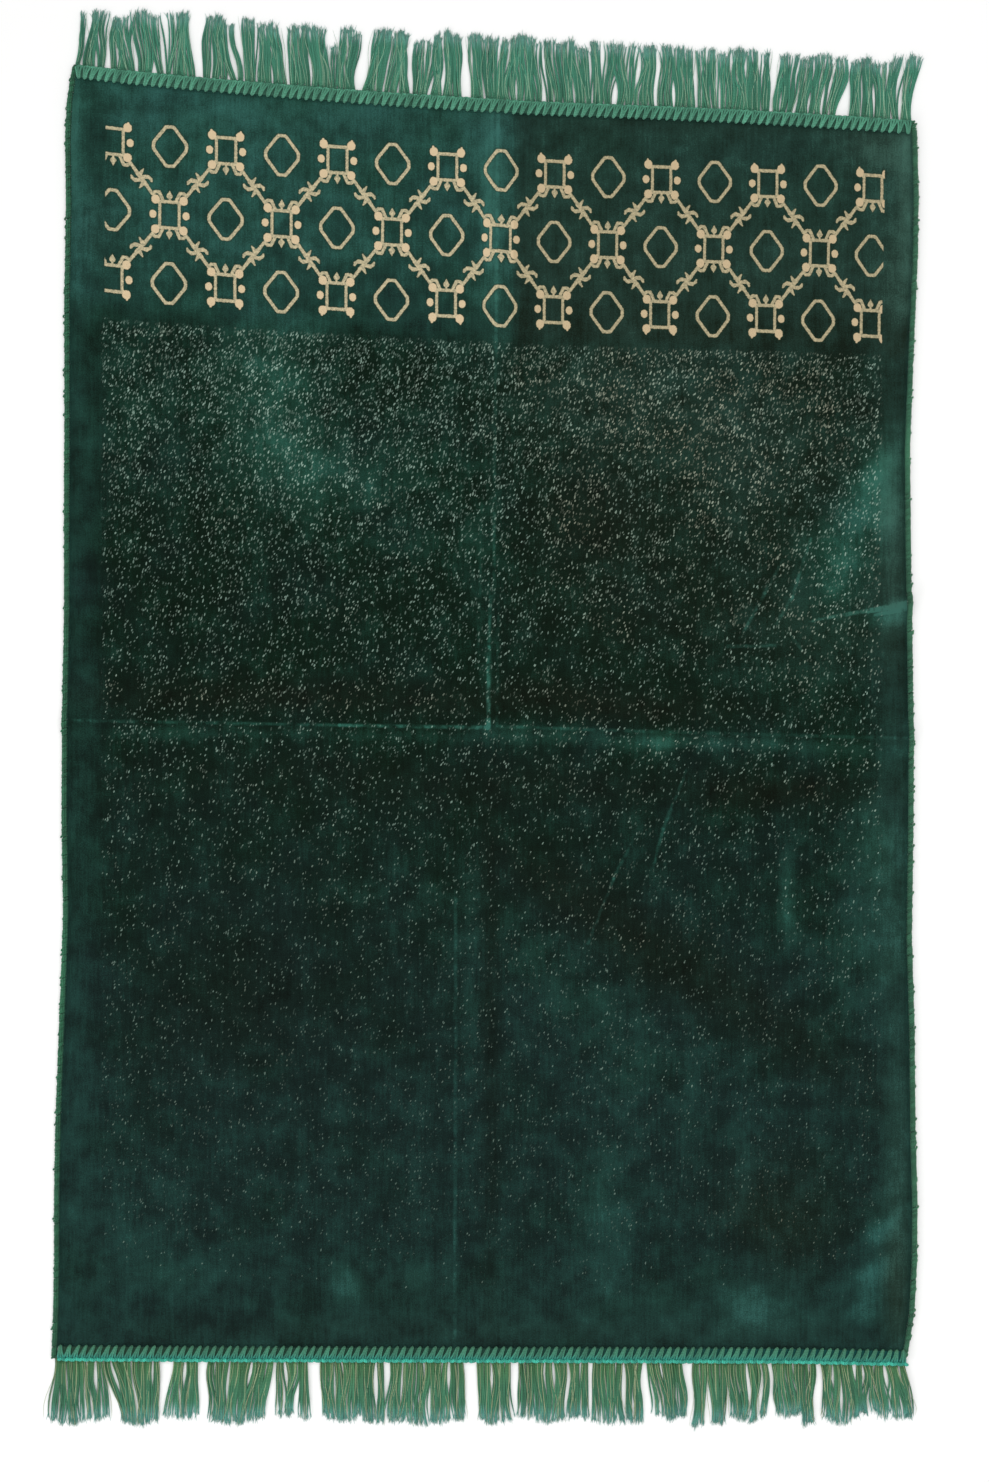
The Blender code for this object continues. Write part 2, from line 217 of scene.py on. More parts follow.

# ---------------------------------------------------------------- how the pile lies, and the sheen and shade painted on it

# Patches of painted sheen (lean above 0) and painted shade (lean below 0): the pile's colour is made lighter
# where its nap would catch the light, and darker where it would lie away from it or in a fold's shade.
#        x, y, reach across, reach along, turned by degrees, lean, and how much warmer its green is
SHEEN_AND_SHADE_PATCHES = [
    (-321, 479, 20, 41, 0, -0.20, 0.0),
    (-344, 487, 7, 66, 0, 0.34, 0.3),
    (-326, 408, 20, 33, 0, -0.10, 0.2),
    (327, 471, 33, 20, 0, 0.20, 0.6),
    (349, 429, 7, 75, 0, 0.26, 0.6),
    (4, 425, 7, 91, 0, 0.27, 0.0),
    (-50, 392, 46, 66, 0, -0.09, 0.0),
    (-145, 396, 50, 66, 0, -0.04, 0.0),
    (-203, 491, 50, 18, -4, 0.07, 0.0),
    (170, 491, 166, 13, -2, -0.02, 0.2),
    (178, 313, 166, 13, -3, -0.06, 0.0),
    (-176, 290, 41, 45, 0, 0.40, -0.3),
    (-166, 218, 41, 38, 0, 0.35, -0.3),
    (-99, 197, 61, 36, 0, 0.26, -0.1),
    (-286, 263, 50, 58, 0, 0.14, 0.0),
    (112, 272, 133, 58, 0, 0.16, 0.3),
    (211, 214, 66, 58, 0, 0.16, 0.3),
    (261, 65, 50, 50, 0, 0.14, 0.2),
    (316, 181, 20, 51, -16, 0.46, -0.6),
    (283, 123, 25, 36, -10, 0.36, -0.6),
    (336, 106, 12, 108, 0, 0.15, 0.3),
    (336, 168, 14, 53, 0, 0.32, 0.0),
    (337, 80, 15, 9, 8, 0.24, -0.3),
    (329, 86, 23, 7, 12, 0.24, -0.4),
    (344, -151, 22, 331, 0, 0.08, 0.3),
    (337, 346, 12, 99, 0, 0.10, 0.2),
    (-4, 139, 22, 50, 0, 0.14, -0.2),
    (3, 31, 7, 46, 0, 0.16, -0.2),
    (-54, 143, 41, 13, 0, 0.10, -0.2),
    (-178, 17, 174, 15, -1, -0.12, 0.6),
    (95, 13, 108, 15, -2, -0.12, 0.8),
    (-269, 89, 66, 50, 0, -0.04, 0.0),
    (87, 164, 41, 33, 0, -0.07, 0.4),
    (-170, -13, 174, 6, -1, 0.16, -0.3),
    (178, -19, 174, 7, -2, 0.26, -0.3),
    (143, -22, 14, 11, 0, 0.28, -0.4),
    (25, -18, 12, 7, 0, 0.12, -0.4),
    (-4, -53, 273, 20, -1, -0.08, 0.3),
    (244, -60, 62, 13, 3, -0.12, 0.6),
    (250, -147, 7, 35, 0, 0.34, 0.0),
    (326, -126, 25, 83, 0, 0.26, 0.0),
    (302, -200, 41, 50, 0, 0.10, 0.0),
    (87, -157, 83, 25, -33, -0.11, 0.5),
    (211, -239, 116, 27, -33, -0.09, 0.5),
    (62, -225, 75, 28, -33, 0.12, 0.0),
    (-29, -155, 91, 36, -20, 0.06, 0.0),
    (5, -258, 7, 232, 0, -0.10, 0.3),
    (105, -325, 17, 108, 0, 0.08, 0.0),
    (170, -308, 7, 36, 0, 0.24, 0.0),
    (215, -333, 7, 50, 0, 0.12, 0.0),
    (128, -283, 7, 50, 0, 0.14, 0.0),
    (-12, -242, 8, 99, 0, 0.10, 0.0),
    (99, -424, 20, 50, 0, 0.20, 0.0),
    (-203, -242, 66, 50, 0, -0.07, 0.2),
    (-162, -213, 157, 108, 0, -0.07, 0.1),
    (-286, -428, 28, 50, 0, 0.12, 0.0),
    (-249, -461, 50, 18, 0, 0.16, 0.0),
    (-115, -471, 13, 22, 0, 0.30, 0.0),
    (-54, -457, 10, 25, 0, 0.12, 0.0),
    (224, -482, 25, 23, 0, 0.26, 0.0),
    (246, -403, 50, 41, 0, 0.00, 0.7),
    (337, -308, 10, 99, 0, 0.10, 0.1),
    (329, -421, 8, 23, -45, 0.34, -0.3),
    (342, -391, 11, 66, 0, 0.14, 0.3),
    (317, -459, 9, 27, -70, 0.28, -0.3),
    (314, -484, 12, 20, -25, 0.30, -0.3),
    (342, -474, 12, 50, 0, 0.12, 0.9),
    (4, -482, 182, 33, 0, 0.08, 0.1),
    (228, -490, 99, 25, 0, 0.13, 0.1),
    (-337, 181, 13, 331, 0, 0.10, -0.1),
    (-341, -316, 12, 215, 0, 0.08, 0.0),
    (-4, -510, 356, 12, 0, 0.07, 0.2),
]


def column(table, index):
    """One column of a table."""
    return np.array([row[index] for row in table], float)


def side_x(side, y):
    """Where the panel's side lies at y: side -1 for the left and 1 for the right."""
    corner = ENDS[0] if side < 0 else ENDS[-1]
    along = (np.asarray(y, float) - corner[1]) / (corner[2] - corner[1])
    return np.interp(along, column(SIDES, 0), column(SIDES, 1 if side < 0 else 2))


def end_line(x, end):
    """The panel's own end line at x: end -1 for the bottom and 1 for the top."""
    row = [np.interp((end + 1) / 2, column(SIDES, 0), column(SIDES, index)) for index in (1, 2)]
    across = (np.asarray(x, float) - row[0]) / (row[1] - row[0])
    return np.interp(across, column(ENDS, 0), column(ENDS, 1 if end < 0 else 2))


def root_line(x, end):
    """The outer side of the strip that a fringe hangs from."""
    return end_line(x, end) + end * (2 * GAP + HEADING_WIDE + STRIP_WIDE)


def on_panel(across, along):
    """The place in the panel's plane at a fraction of its width and a fraction of its length."""
    left, right = (np.interp(along, column(SIDES, 0), column(SIDES, index)) for index in (1, 2))
    bottom, top = (np.interp(across, column(ENDS, 0), column(ENDS, index)) for index in (1, 2))
    return left + across * (right - left), bottom + along * (top - bottom)


def fold_height(x, y):
    """How far the folds lift the cloth off the floor: a pinched crest with soft flanks."""
    lift = np.zeros(np.shape(x))
    for x0, y0, x1, y1, height0, height1, half_wide in FOLDS:
        run_x, run_y = x1 - x0, y1 - y0
        part = ((x - x0) * run_x + (y - y0) * run_y) / (run_x**2 + run_y**2)
        part = np.clip(part, 0.0, 1.0)
        away = np.hypot(x - x0 - part * run_x, y - y0 - part * run_y) / half_wide
        away = np.minimum(away, 1.0)
        crest = height0 + part * (height1 - height0)
        lift = np.maximum(lift, crest * (1 - away) ** 2 * (1 + 0.7 * away))
    return lift


# ---------------------------------------------------------------- wiring materials


def put(tree, socket, value):
    """Links a socket to another one, or sets it."""
    if isinstance(value, bpy.types.NodeSocket):
        tree.links.new(value, socket)
    elif value is not None:
        socket.default_value = value


def node(tree, kind, *values, out=0, **settings):
    """Adds a node, fills its inputs in order and gives back one of its outputs."""
    made = tree.nodes.new(kind)
    for name, value in settings.items():
        setattr(made, name, value)
    for socket, value in zip(made.inputs, values):
        put(tree, socket, value)
    return made.outputs[out]


def calc(tree, operation, *values, clamp=False):
    """Sums on numbers."""
    return node(tree, "ShaderNodeMath", *values, operation=operation, use_clamp=clamp)


def times(tree, first, second):
    """Two numbers' product."""
    return calc(tree, "MULTIPLY", first, second)


def less(tree, first, second):
    """The first number less the second."""
    return calc(tree, "SUBTRACT", first, second)


def times_plus(tree, value, factor, added, clamp=False):
    """A number times a factor, with another one added."""
    return calc(tree, "MULTIPLY_ADD", value, factor, added, clamp=clamp)


def vector(tree, operation, first, second=None, out=0):
    """Sums on places and directions."""
    if operation == "SCALE":
        return node(tree, "ShaderNodeVectorMath", first, None, None, second, operation=operation)
    return node(tree, "ShaderNodeVectorMath", first, second, out=out, operation=operation)


def ease(tree, value, low, high, to_low=0.0, to_high=1.0):
    """A soft step from one value to another."""
    made = tree.nodes.new("ShaderNodeMapRange")
    made.interpolation_type = "SMOOTHSTEP"
    for socket, given in zip(made.inputs, (value, low, high, to_low, to_high)):
        put(tree, socket, given)
    return made.outputs[0]


def ease_straight(tree, value, low, high):
    """How far a value has come from low to high, from 0 to 1."""
    return node(tree, "ShaderNodeMapRange", value, low, high)


def mix(tree, share, first, second, blend="MIX"):
    """A colour between two colours, or their product."""
    made = tree.nodes.new("ShaderNodeMix")
    made.data_type = "RGBA"
    made.blend_type = blend
    for index, value in ((0, share), (6, first), (7, second)):
        put(tree, made.inputs[index], value)
    return made.outputs[2]


def speckle(tree, place, scale, detail=2.0, roughness=0.5):
    """Soft noise from 0 to 1."""
    return node(tree, "ShaderNodeTexNoise", place, None, scale, detail, roughness, noise_dimensions="3D")


def speckle_about(tree, value, strength, place, scale, detail=2.0, roughness=0.5):
    """A number made a little more and a little less by soft noise."""
    return times_plus(tree, less(tree, speckle(tree, place, scale, detail, roughness), 0.5), strength, value)


def split(tree, place):
    """The first and the second number of a place."""
    made = tree.nodes.new("ShaderNodeSeparateXYZ")
    put(tree, made.inputs[0], place)
    return made.outputs[0], made.outputs[1]


def attribute(tree, name):
    """A number that the mesh holds at each of its points."""
    return node(tree, "ShaderNodeAttribute", attribute_name=name, out=2)


def in_millimetres(tree):
    """Places on the rug, as in the tables."""
    coordinates = tree.nodes.new("ShaderNodeTexCoord")
    return vector(tree, "SCALE", coordinates.outputs["Object"], 1 / MM)


def least(tree, values):
    """The smallest of several values."""
    smallest = values[0]
    for value in values[1:]:
        smallest = calc(tree, "MINIMUM", smallest, value)
    return smallest


def stretched(tree, place, scale, turned=0.0):
    """A pattern's coordinates, turned by degrees and then stretched."""
    turn = node(tree, "ShaderNodeMapping", place, (0.0, 0.0, 0.0), (0.0, 0.0, math.radians(turned)))
    return vector(tree, "MULTIPLY", turn, scale)


def new_group(name, inputs, outputs):
    """An empty node group: (tree, its input sockets by name, a function that sets its outputs)."""
    tree = bpy.data.node_groups.new(name, "ShaderNodeTree")
    for label, kind, value in inputs:
        socket = tree.interface.new_socket(name=label, in_out="INPUT", socket_type=kind)
        if value is not None:
            socket.default_value = value
    for label, kind in outputs:
        tree.interface.new_socket(name=label, in_out="OUTPUT", socket_type=kind)
    given = tree.nodes.new("NodeGroupInput")
    result = tree.nodes.new("NodeGroupOutput")

    def finish(**values):
        """Feeds the group's outputs."""
        for label, value in values.items():
            put(tree, result.inputs[label.replace("_", " ")], value)

    return tree, {socket.name: socket for socket in given.outputs if socket.name}, finish


def use(tree, group, **values):
    """Places a group in a tree and gives back the node."""
    made = tree.nodes.new("ShaderNodeGroup")
    made.node_tree = group
    for label, value in values.items():
        put(tree, made.inputs[label.replace("_", " ")], value)
    return made


VECTOR, NUMBER = "NodeSocketVector", "NodeSocketFloat"


def woven_line_group():
    """The distance in millimetres from a line of pile that tapers from one half width to another."""
    tree, given, finish = new_group(
        "Woven line",
        [
            ("Place", VECTOR, None),
            ("Start", VECTOR, None),
            ("End", VECTOR, None),
            ("Start Half", NUMBER, 1.2),
            ("End Half", NUMBER, 1.2),
        ],
        [("Distance", NUMBER)],
    )
    from_start = vector(tree, "SUBTRACT", given["Place"], given["Start"])
    run = vector(tree, "SUBTRACT", given["End"], given["Start"])
    ahead = vector(tree, "DOT_PRODUCT", from_start, run, out=1)
    square = vector(tree, "DOT_PRODUCT", run, run, out=1)
    part = calc(tree, "DIVIDE", ahead, square, clamp=True)
    away = vector(tree, "SUBTRACT", from_start, vector(tree, "SCALE", run, part))
    length = vector(tree, "LENGTH", away, out=1)
    grow = less(tree, given["End Half"], given["Start Half"])
    half = times_plus(tree, part, grow, given["Start Half"])
    finish(Distance=less(tree, length, half))
    return tree


# The lattice's cell and motifs, in millimetres from a motif's own middle.
CELL_WIDE = 44.9
CELL_LONG = 56.25
FIRST_ROW = 48.5  # from the panel's top edge to the middle of the first row
# Where the band is cut off at its left and its right side, in columns: from bare to full.
LEFT_CUT = (-0.142, -0.128)
RIGHT_CUT = (14.235, 14.22)
OCTAGON = (13.2, 16.2, 12.1)  # half width, half height, and how far out its slanted sides lie
OCTAGON_SLOPE = (0.798, 0.603)
OCTAGON_CORNER = 1.6
STROKE_HALF = 1.25
FAR_OFF = 99.0  # added to the distance of what isn't there
# How a line, a dot and the painted shadow round them fade at their edges, in millimetres: from bare to full.
LINE_EDGE = (0.35, -0.35)
DOT_EDGE = (0.5, -0.5)
GOLD_SHADOW_EDGE = (1.7, 0.3)
# Lines of the square frame's first quarter: start x, y, end x, y, half widths.
FRAME_LINES = [
    (7.8, 0.0, 7.7, 8.6, 1.15, 1.1),
    (7.7, 8.6, 9.9, 12.0, 1.1, 1.9),
    (0.0, 10.7, 7.2, 10.7, 1.3, 1.3),
]
FRAME_DOTS = [
    (11.2, 11.9, 11.2, 12.7, 3.3, 3.3),
    (13.2, 0.0, 13.2, 0.6, 2.9, 2.7),
]
# The point that a corner dot has where no vine climbs to it.
DOT_POINTS = [(11.3, 12.4, 11.7, 16.2, 3.2, 0.9)]
BUD_LINES = [
    (0.0, 11.0, 0.0, 15.0, 0.8, 0.9),
    (0.0, 15.7, 0.0, 19.8, 2.5, 0.1),
]
# A vine's half, from its middle to the corner of the frame that it climbs to, with its curled leaves.
VINE_LINES = [
    (0.0, 0.0, 3.4, 4.4, 1.5, 1.7),
    (3.4, 4.4, 8.9, 12.0, 1.4, 1.2),
    (9.2, 11.4, 11.2, 9.8, 1.3, 1.3),
    (11.2, 9.8, 14.1, 9.8, 1.3, 1.3),
    (14.1, 9.8, 17.5, 17.0, 1.3, 1.2),
    (1.6, 3.0, -1.3, 7.6, 1.9, 0.6),
    (-1.0, 0.8, -4.6, 1.7, 1.8, 1.7),
    (-4.6, 1.7, -7.3, 0.0, 1.7, 1.4),
    (7.2, -0.4, 8.0, 1.6, 1.5, 0.8),
]


def line_from(tree, line_group, place, row):
    """The distance from one woven line: start x, y, end x, y, half widths."""
    x0, y0, x1, y1, half0, half1 = row
    ends = {"Start": (x0, y0, 0), "End": (x1, y1, 0)}
    return use(tree, line_group, Place=place, Start_Half=half0, End_Half=half1, **ends).outputs[0]


def lines_of(tree, line_group, place, rows):
    """The distance from the nearest of several woven lines."""
    return least(tree, [line_from(tree, line_group, place, row) for row in rows])


def rows_away(tree, row, middle):
    """How many rows away from the band's middle."""
    return calc(tree, "ABSOLUTE", less(tree, row, middle))


def sign_above(tree, value, limit):
    """1 where a number is above its limit and -1 elsewhere."""
    return less(tree, times(tree, calc(tree, "GREATER_THAN", value, limit), 2.0), 1.0)


def octagon_distance(tree, x, y):
    """The distance from the outline of an octagon, in its first quarter."""
    slanted = times_plus(tree, y, OCTAGON_SLOPE[1], times(tree, x, OCTAGON_SLOPE[0]))
    outside = calc(tree, "MAXIMUM", less(tree, x, OCTAGON[0]), less(tree, y, OCTAGON[1]))
    outside = calc(tree, "SMOOTH_MAX", outside, less(tree, slanted, OCTAGON[2]), OCTAGON_CORNER)
    return less(tree, calc(tree, "ABSOLUTE", outside), STROKE_HALF)


def frame_distance(tree, line_group, quarter, motif_row, y):
    """The distance from a square frame with its dots and its bud, and from its dots alone."""
    frame_line = lines_of(tree, line_group, quarter, FRAME_LINES)
    bud = lines_of(tree, line_group, quarter, BUD_LINES)
    past_row = calc(tree, "ADD", less(tree, motif_row, 1.0), calc(tree, "SIGN", y))
    bare_side = calc(tree, "LESS_THAN", calc(tree, "ABSOLUTE", past_row), 0.5)
    bud = times_plus(tree, bare_side, FAR_OFF, bud)
    points = lines_of(tree, line_group, quarter, DOT_POINTS)
    points = times_plus(tree, less(tree, 1.0, bare_side), FAR_OFF, points)
    dots = least(tree, [lines_of(tree, line_group, quarter, FRAME_DOTS), points])
    return least(tree, [frame_line, dots, bud]), dots


def vine_distance(tree, line_group, across, down):
    """The distance from the vines at the crossings of four cells. Every other one leans the other way."""
    gap_column, gap_row = calc(tree, "FLOOR", across), calc(tree, "FLOOR", down)
    x = times(tree, less(tree, less(tree, across, gap_column), 0.5), CELL_WIDE)
    y = times(tree, less(tree, less(tree, gap_row, down), -0.5), CELL_LONG)
    parity = calc(tree, "FLOORED_MODULO", calc(tree, "ADD", gap_column, gap_row), 2.0)
    x = times(tree, x, sign_above(tree, parity, 0.5))
    half_turn = sign_above(tree, y, 0.0)
    half = node(tree, "ShaderNodeCombineXYZ", times(tree, x, half_turn), times(tree, y, half_turn))
    vine = lines_of(tree, line_group, half, VINE_LINES)
    no_vine = calc(tree, "GREATER_THAN", rows_away(tree, gap_row, 0.5), 0.9)
    return times_plus(tree, no_vine, FAR_OFF, vine)


def lattice_group(line_group):
    """The gold lattice of the patterned end. Band Place counts columns in x and rows downwards in y."""
    tree, given, finish = new_group(
        "Gold lattice", [("Band Place", VECTOR, None)], [("Gold", NUMBER), ("Dots", NUMBER), ("Rim", NUMBER)]
    )
    across, down = split(tree, given["Band Place"])

    # The motif whose middle is nearest: an octagon where column and row add up to an odd number, or a frame.
    motif_column, motif_row = calc(tree, "ROUND", across), calc(tree, "ROUND", down)
    x = times(tree, less(tree, across, motif_column), CELL_WIDE)
    y = times(tree, less(tree, motif_row, down), CELL_LONG)
    in_quarter_x, in_quarter_y = calc(tree, "ABSOLUTE", x), calc(tree, "ABSOLUTE", y)
    quarter = node(tree, "ShaderNodeCombineXYZ", in_quarter_x, in_quarter_y)
    odd = calc(tree, "FLOORED_MODULO", calc(tree, "ADD", motif_column, motif_row), 2.0)
    odd = calc(tree, "GREATER_THAN", odd, 0.5)
    even = less(tree, 1.0, odd)
    octagon = octagon_distance(tree, in_quarter_x, in_quarter_y)
    square, dots = frame_distance(tree, line_group, quarter, motif_row, y)
    motif = calc(tree, "ADD", times(tree, octagon, odd), times(tree, square, even))
    off_rows = calc(tree, "GREATER_THAN", rows_away(tree, motif_row, 1.0), 1.2)
    motif = times_plus(tree, off_rows, FAR_OFF, motif)

    # The band ends in a straight cut at both sides.
    cut = times(tree, ease(tree, across, *LEFT_CUT), ease(tree, across, *RIGHT_CUT))
    nearest = calc(tree, "MINIMUM", motif, vine_distance(tree, line_group, across, down))
    on_dots = times(tree, times(tree, even, cut), less(tree, 1.0, off_rows))
    finish(
        Gold=times(tree, ease(tree, nearest, *LINE_EDGE), cut),
        Rim=times(tree, ease(tree, nearest, *GOLD_SHADOW_EDGE), cut),
        Dots=times(tree, ease(tree, dots, *DOT_EDGE), on_dots),
    )
    return tree


def fleck_group():
    """Slanted flecks of pale pile, each with its own brightness.

    Amount is the share of places that have one.
    """
    tree, given, finish = new_group(
        "Fleck",
        [("Place", VECTOR, None), ("Amount", NUMBER, 0.7), ("Size", NUMBER, 0.4)],
        [("Fleck", NUMBER), ("Shade", NUMBER)],
    )
    cells = tree.nodes.new("ShaderNodeTexVoronoi")
    cells.voronoi_dimensions = "2D"
    cells.feature = "F1"
    put(tree, cells.inputs["Vector"], given["Place"])
    put(tree, cells.inputs["Scale"], 1.0)
    tone = tree.nodes.new("ShaderNodeSeparateColor")
    tree.links.new(cells.outputs["Color"], tone.inputs[0])
    there = calc(tree, "LESS_THAN", tone.outputs[0], given["Amount"])
    size = times(tree, given["Size"], times_plus(tree, tone.outputs[1], 0.6, 0.6))
    edge = less(tree, size, cells.outputs["Distance"])
    shade = calc(tree, "POWER", tone.outputs[2], 2.4)
    finish(Fleck=times(tree, ease(tree, edge, -0.07, 0.05), there), Shade=shade)
    return tree


def yarn_group():
    """The slanted plies of a twisted yarn, from its own UV map: x across it, y along it in millimetres."""
    tree, given, finish = new_group(
        "Twisted yarn",
        [("Ply Length", NUMBER, 1.3), ("Slant", NUMBER, 0.45), ("Fuzz", NUMBER, 0.4)],
        [("Ply", NUMBER), ("Height", NUMBER), ("Shade", NUMBER), ("Reach", NUMBER)],
    )
    place = node(tree, "ShaderNodeUVMap", uv_map="Yarn")
    across, along = split(tree, place)
    phase = calc(tree, "DIVIDE", along, given["Ply Length"])
    phase = times_plus(tree, across, given["Slant"], phase)
    ply = ease(tree, calc(tree, "PINGPONG", phase, 0.5), 0.02, 0.34)
    fibres = speckle(tree, stretched(tree, place, (3.0, 0.8, 1.0)), 2.2, 3.0, 0.6)
    height = times_plus(tree, fibres, given["Fuzz"], ply)
    finish(Ply=ply, Height=height, Shade=attribute(tree, "shade"), Reach=attribute(tree, "reach"))
    return tree


def bare_material(name, roughness, sheen=0.0, sheen_tint=(1, 1, 1), sheen_roughness=0.4, specular=0.3):
    """A material with its Principled shader: (material, tree, shader)."""
    made = bpy.data.materials.new(name)
    made.use_nodes = True
    shader = made.node_tree.nodes["Principled BSDF"]
    shader.inputs["Roughness"].default_value = roughness
    shader.inputs["Sheen Weight"].default_value = sheen
    shader.inputs["Sheen Tint"].default_value = (*sheen_tint, 1.0)
    shader.inputs["Sheen Roughness"].default_value = sheen_roughness
    shader.inputs["Specular IOR Level"].default_value = specular
    return made, made.node_tree, shader


def bumped(tree, shader, height, depth):
    """Feeds a height, in units of depth metres, to the shader's normal."""
    made = tree.nodes.new("ShaderNodeBump")
    made.inputs["Distance"].default_value = depth
    put(tree, made.inputs["Height"], height)
    tree.links.new(made.outputs[0], shader.inputs["Normal"])


# Loose hairs that the light shines through. Hairs have a shade above 1.
TOP_HAIR = (0.34, 0.55, 0.38)
BOTTOM_HAIR = (0.44, 0.50, 0.29)
HAIR_SHADE = 1.2

# The start of the thread wound round the sides, and of the bottom fringe's yarn.
UNDER_EDGE = (0.012, 0.05, 0.035)
UPPER_FRINGE = (0.095, 0.26, 0.095)
# Each yarn's colour at its start, in its middle and at its end, how far along it the start has given way to
# the middle, where the end begins, and the colour of its hairs.
YARNS = {
    "Left serging yarn": (UNDER_EDGE, (0.03, 0.15, 0.075), (0.035, 0.19, 0.085), 0.5, 0.55, TOP_HAIR),
    "Right serging yarn": (UNDER_EDGE, (0.052, 0.19, 0.105), (0.095, 0.33, 0.13), 0.5, 0.55, TOP_HAIR),
    # The top whip yarn's start, at each stitch's inner end, is lighter: a painted highlight where the
    # stitches face the light.
    "Top whip yarn": ((0.14, 0.45, 0.3), (0.105, 0.375, 0.24), (0.085, 0.32, 0.205), 0.5, 0.75, TOP_HAIR),
    # The bottom whip yarn's end, on the heading's outer side, turns to the chain's teal: partly the chain's
    # colour and partly a painted highlight where the stitches face the light.
    "Bottom whip yarn": ((0.105, 0.31, 0.18), (0.075, 0.3, 0.19), (0.004, 0.38, 0.34), 0.35, 0.33, TOP_HAIR),
    "Chain yarn": ((0.05, 0.48, 0.34), (0.06, 0.52, 0.38), (0.05, 0.48, 0.36), 0.5, 0.75, TOP_HAIR),
    "Top fringe yarn": ((0.078, 0.3, 0.18), (0.072, 0.31, 0.2), (0.22, 0.55, 0.46), 0.5, 0.75, TOP_HAIR),
    "Bottom fringe yarn": (UPPER_FRINGE, (0.075, 0.275, 0.15), (0.16, 0.5, 0.43), 0.6, 0.7, BOTTOM_HAIR),
}


def yarn_material(name, group):
    """Twisted yarn: a colour each for start, middle and end, painted shade in the grooves between plies, and
    pale hairs.
    """
    start, colour, end, start_gone, end_begins, hair = YARNS[name]
    made, tree, shader = bare_material(name, 0.85, sheen=0.25, sheen_tint=(0.4, 0.95, 0.7))
    ply, height, shade, reach = use(tree, group).outputs
    base = mix(tree, ease(tree, reach, 0.0, start_gone), (*start, 1), (*colour, 1))
    base = mix(tree, ease(tree, reach, end_begins, 1.0), base, (*end, 1))
    base = mix(tree, ease(tree, shade, 1.02, 1.12), base, (*hair, 1))
    bright = times_plus(tree, shade, 0.7, 0.65)
    # Painted shade: the grooves between plies are darker.
    bright = times(tree, bright, times_plus(tree, ply, 0.45, 0.55))
    grey = node(tree, "ShaderNodeCombineXYZ", bright, bright, bright)
    tree.links.new(mix(tree, 1.0, base, grey, "MULTIPLY"), shader.inputs["Base Color"])
    bumped(tree, shader, height, 0.0005)
    return made


# Creases that show as lighter lines, partly where the pile parts and partly a painted highlight where the
# crest
# catches the light: start x, y, end x, y, half widths, how light.
PARTED_AND_LIT = [
    (-345, -2, -120, -6, 0.2, 0.2, 0.55),
    (-120, -6, 2, -8, 0.3, 0.6, 0.85),
    (10, -7, 130, -11, 0.3, 0.3, 0.4),
    (130, -11, 350, -17, 0.3, 0.3, 0.3),
    (3, -8, 3, 58, 0.9, 0.5, 0.9),
    (3, 58, 5, 100, 0.3, 0.3, 0.5),
    (10, -6, 11, 84, 0.3, 0.3, 0.3),
    (-5, 60, -3, 180, 0.3, 0.3, 0.25),
    (7, 98, 11, 500, 0.3, 0.3, 0.35),
    (-24, -150, -25, -520, 0.4, 0.5, 0.36),
    (268, 80, 318, 89, 0.1, 0.8, 0.6),
    (316, 88, 351, 95, 0.8, 1.6, 0.9),
    (322, 85, 351, 91, 0.2, 1.0, 0.5),
    (211, 66, 231, 103, 0.4, 0.3, 0.62),
    (231, 103, 246, 130, 0.3, 0.1, 0.5),
    (241, 78, 254, 100, 0.4, 0.4, 0.52),
    (254, 100, 269, 148, 0.4, 0.2, 0.5),
    (251, 70, 262, 56, 0.2, 0.2, 0.4),
    (200, 59, 243, 60, 0.5, 0.3, 0.5),
    (139, -124, 147, -92, 0.1, 0.5, 0.65),
    (147, -92, 167, -42, 0.5, 0.1, 0.5),
    (85, -186, 106, -133, 0.2, 0.4, 0.5),
    (106, -133, 121, -103, 0.4, 0.1, 0.5),
]

# Layers of flecks: the room each has across and along, its turn in degrees, its size in that room, and how
# many of those places hold one at the plain end and under the band.
FLECKS = [
    (1.8, 4.9, 12.0, 0.29, 0.06, 0.35),
    (1.8, 3.9, 38.0, 0.30, 0.08, 0.40),
    (2.0, 3.8, 27.0, 0.27, 0.09, 0.42),
]
# The row that the field of flecks starts at, at column 0 and for each column more.
FIELD_ROW = 2.61
FIELD_ROW_SLOPE = -0.0092
# How the field of flecks ends at its left and its right side: x where it is bare and where it is full.
FIELD_LEFT = (-318.0, -314.0)
FIELD_RIGHT = (329.0, 325.0)
# Between which places along the rug the flecks grow in number, by what power, and where the last ones end.
FLECKS_GROW = (-490.0, 330.0)
FLECKS_POWER = 3.6
FLECKS_END = (-485.0, -400.0)
# Between which places they grow in size and brightness, and their share of it at both.
FLECKS_SIZE = (-450.0, 180.0, 0.74, 1.0)
FLECKS_BRIGHT = (-420.0, 60.0, 0.5, 1.0)

# The ground's colour from painted shade (0) to painted sheen (1): its own green, the warmer one of the right
# half, and the bluer one of the band, the sides and the plain end.
DEEP_GREENS = [
    (0.0, (0.0034, 0.0066, 0.0040)),
    (0.3, (0.0050, 0.0150, 0.0085)),
    (0.6, (0.0120, 0.0460, 0.0300)),
    (1.0, (0.0330, 0.1350, 0.0980)),
]
WARM_GREENS = [
    (0.0, (0.0054, 0.0068, 0.0038)),
    (0.3, (0.0090, 0.0170, 0.0105)),
    (0.6, (0.0190, 0.0440, 0.0330)),
    (1.0, (0.0520, 0.1300, 0.1000)),
]
BLUE_GREENS = [
    (0.0, (0.0048, 0.0086, 0.0078)),
    (0.3, (0.0090, 0.0215, 0.0190)),
    (0.6, (0.0160, 0.0540, 0.0450)),
    (1.0, (0.0400, 0.1500, 0.1300)),
]
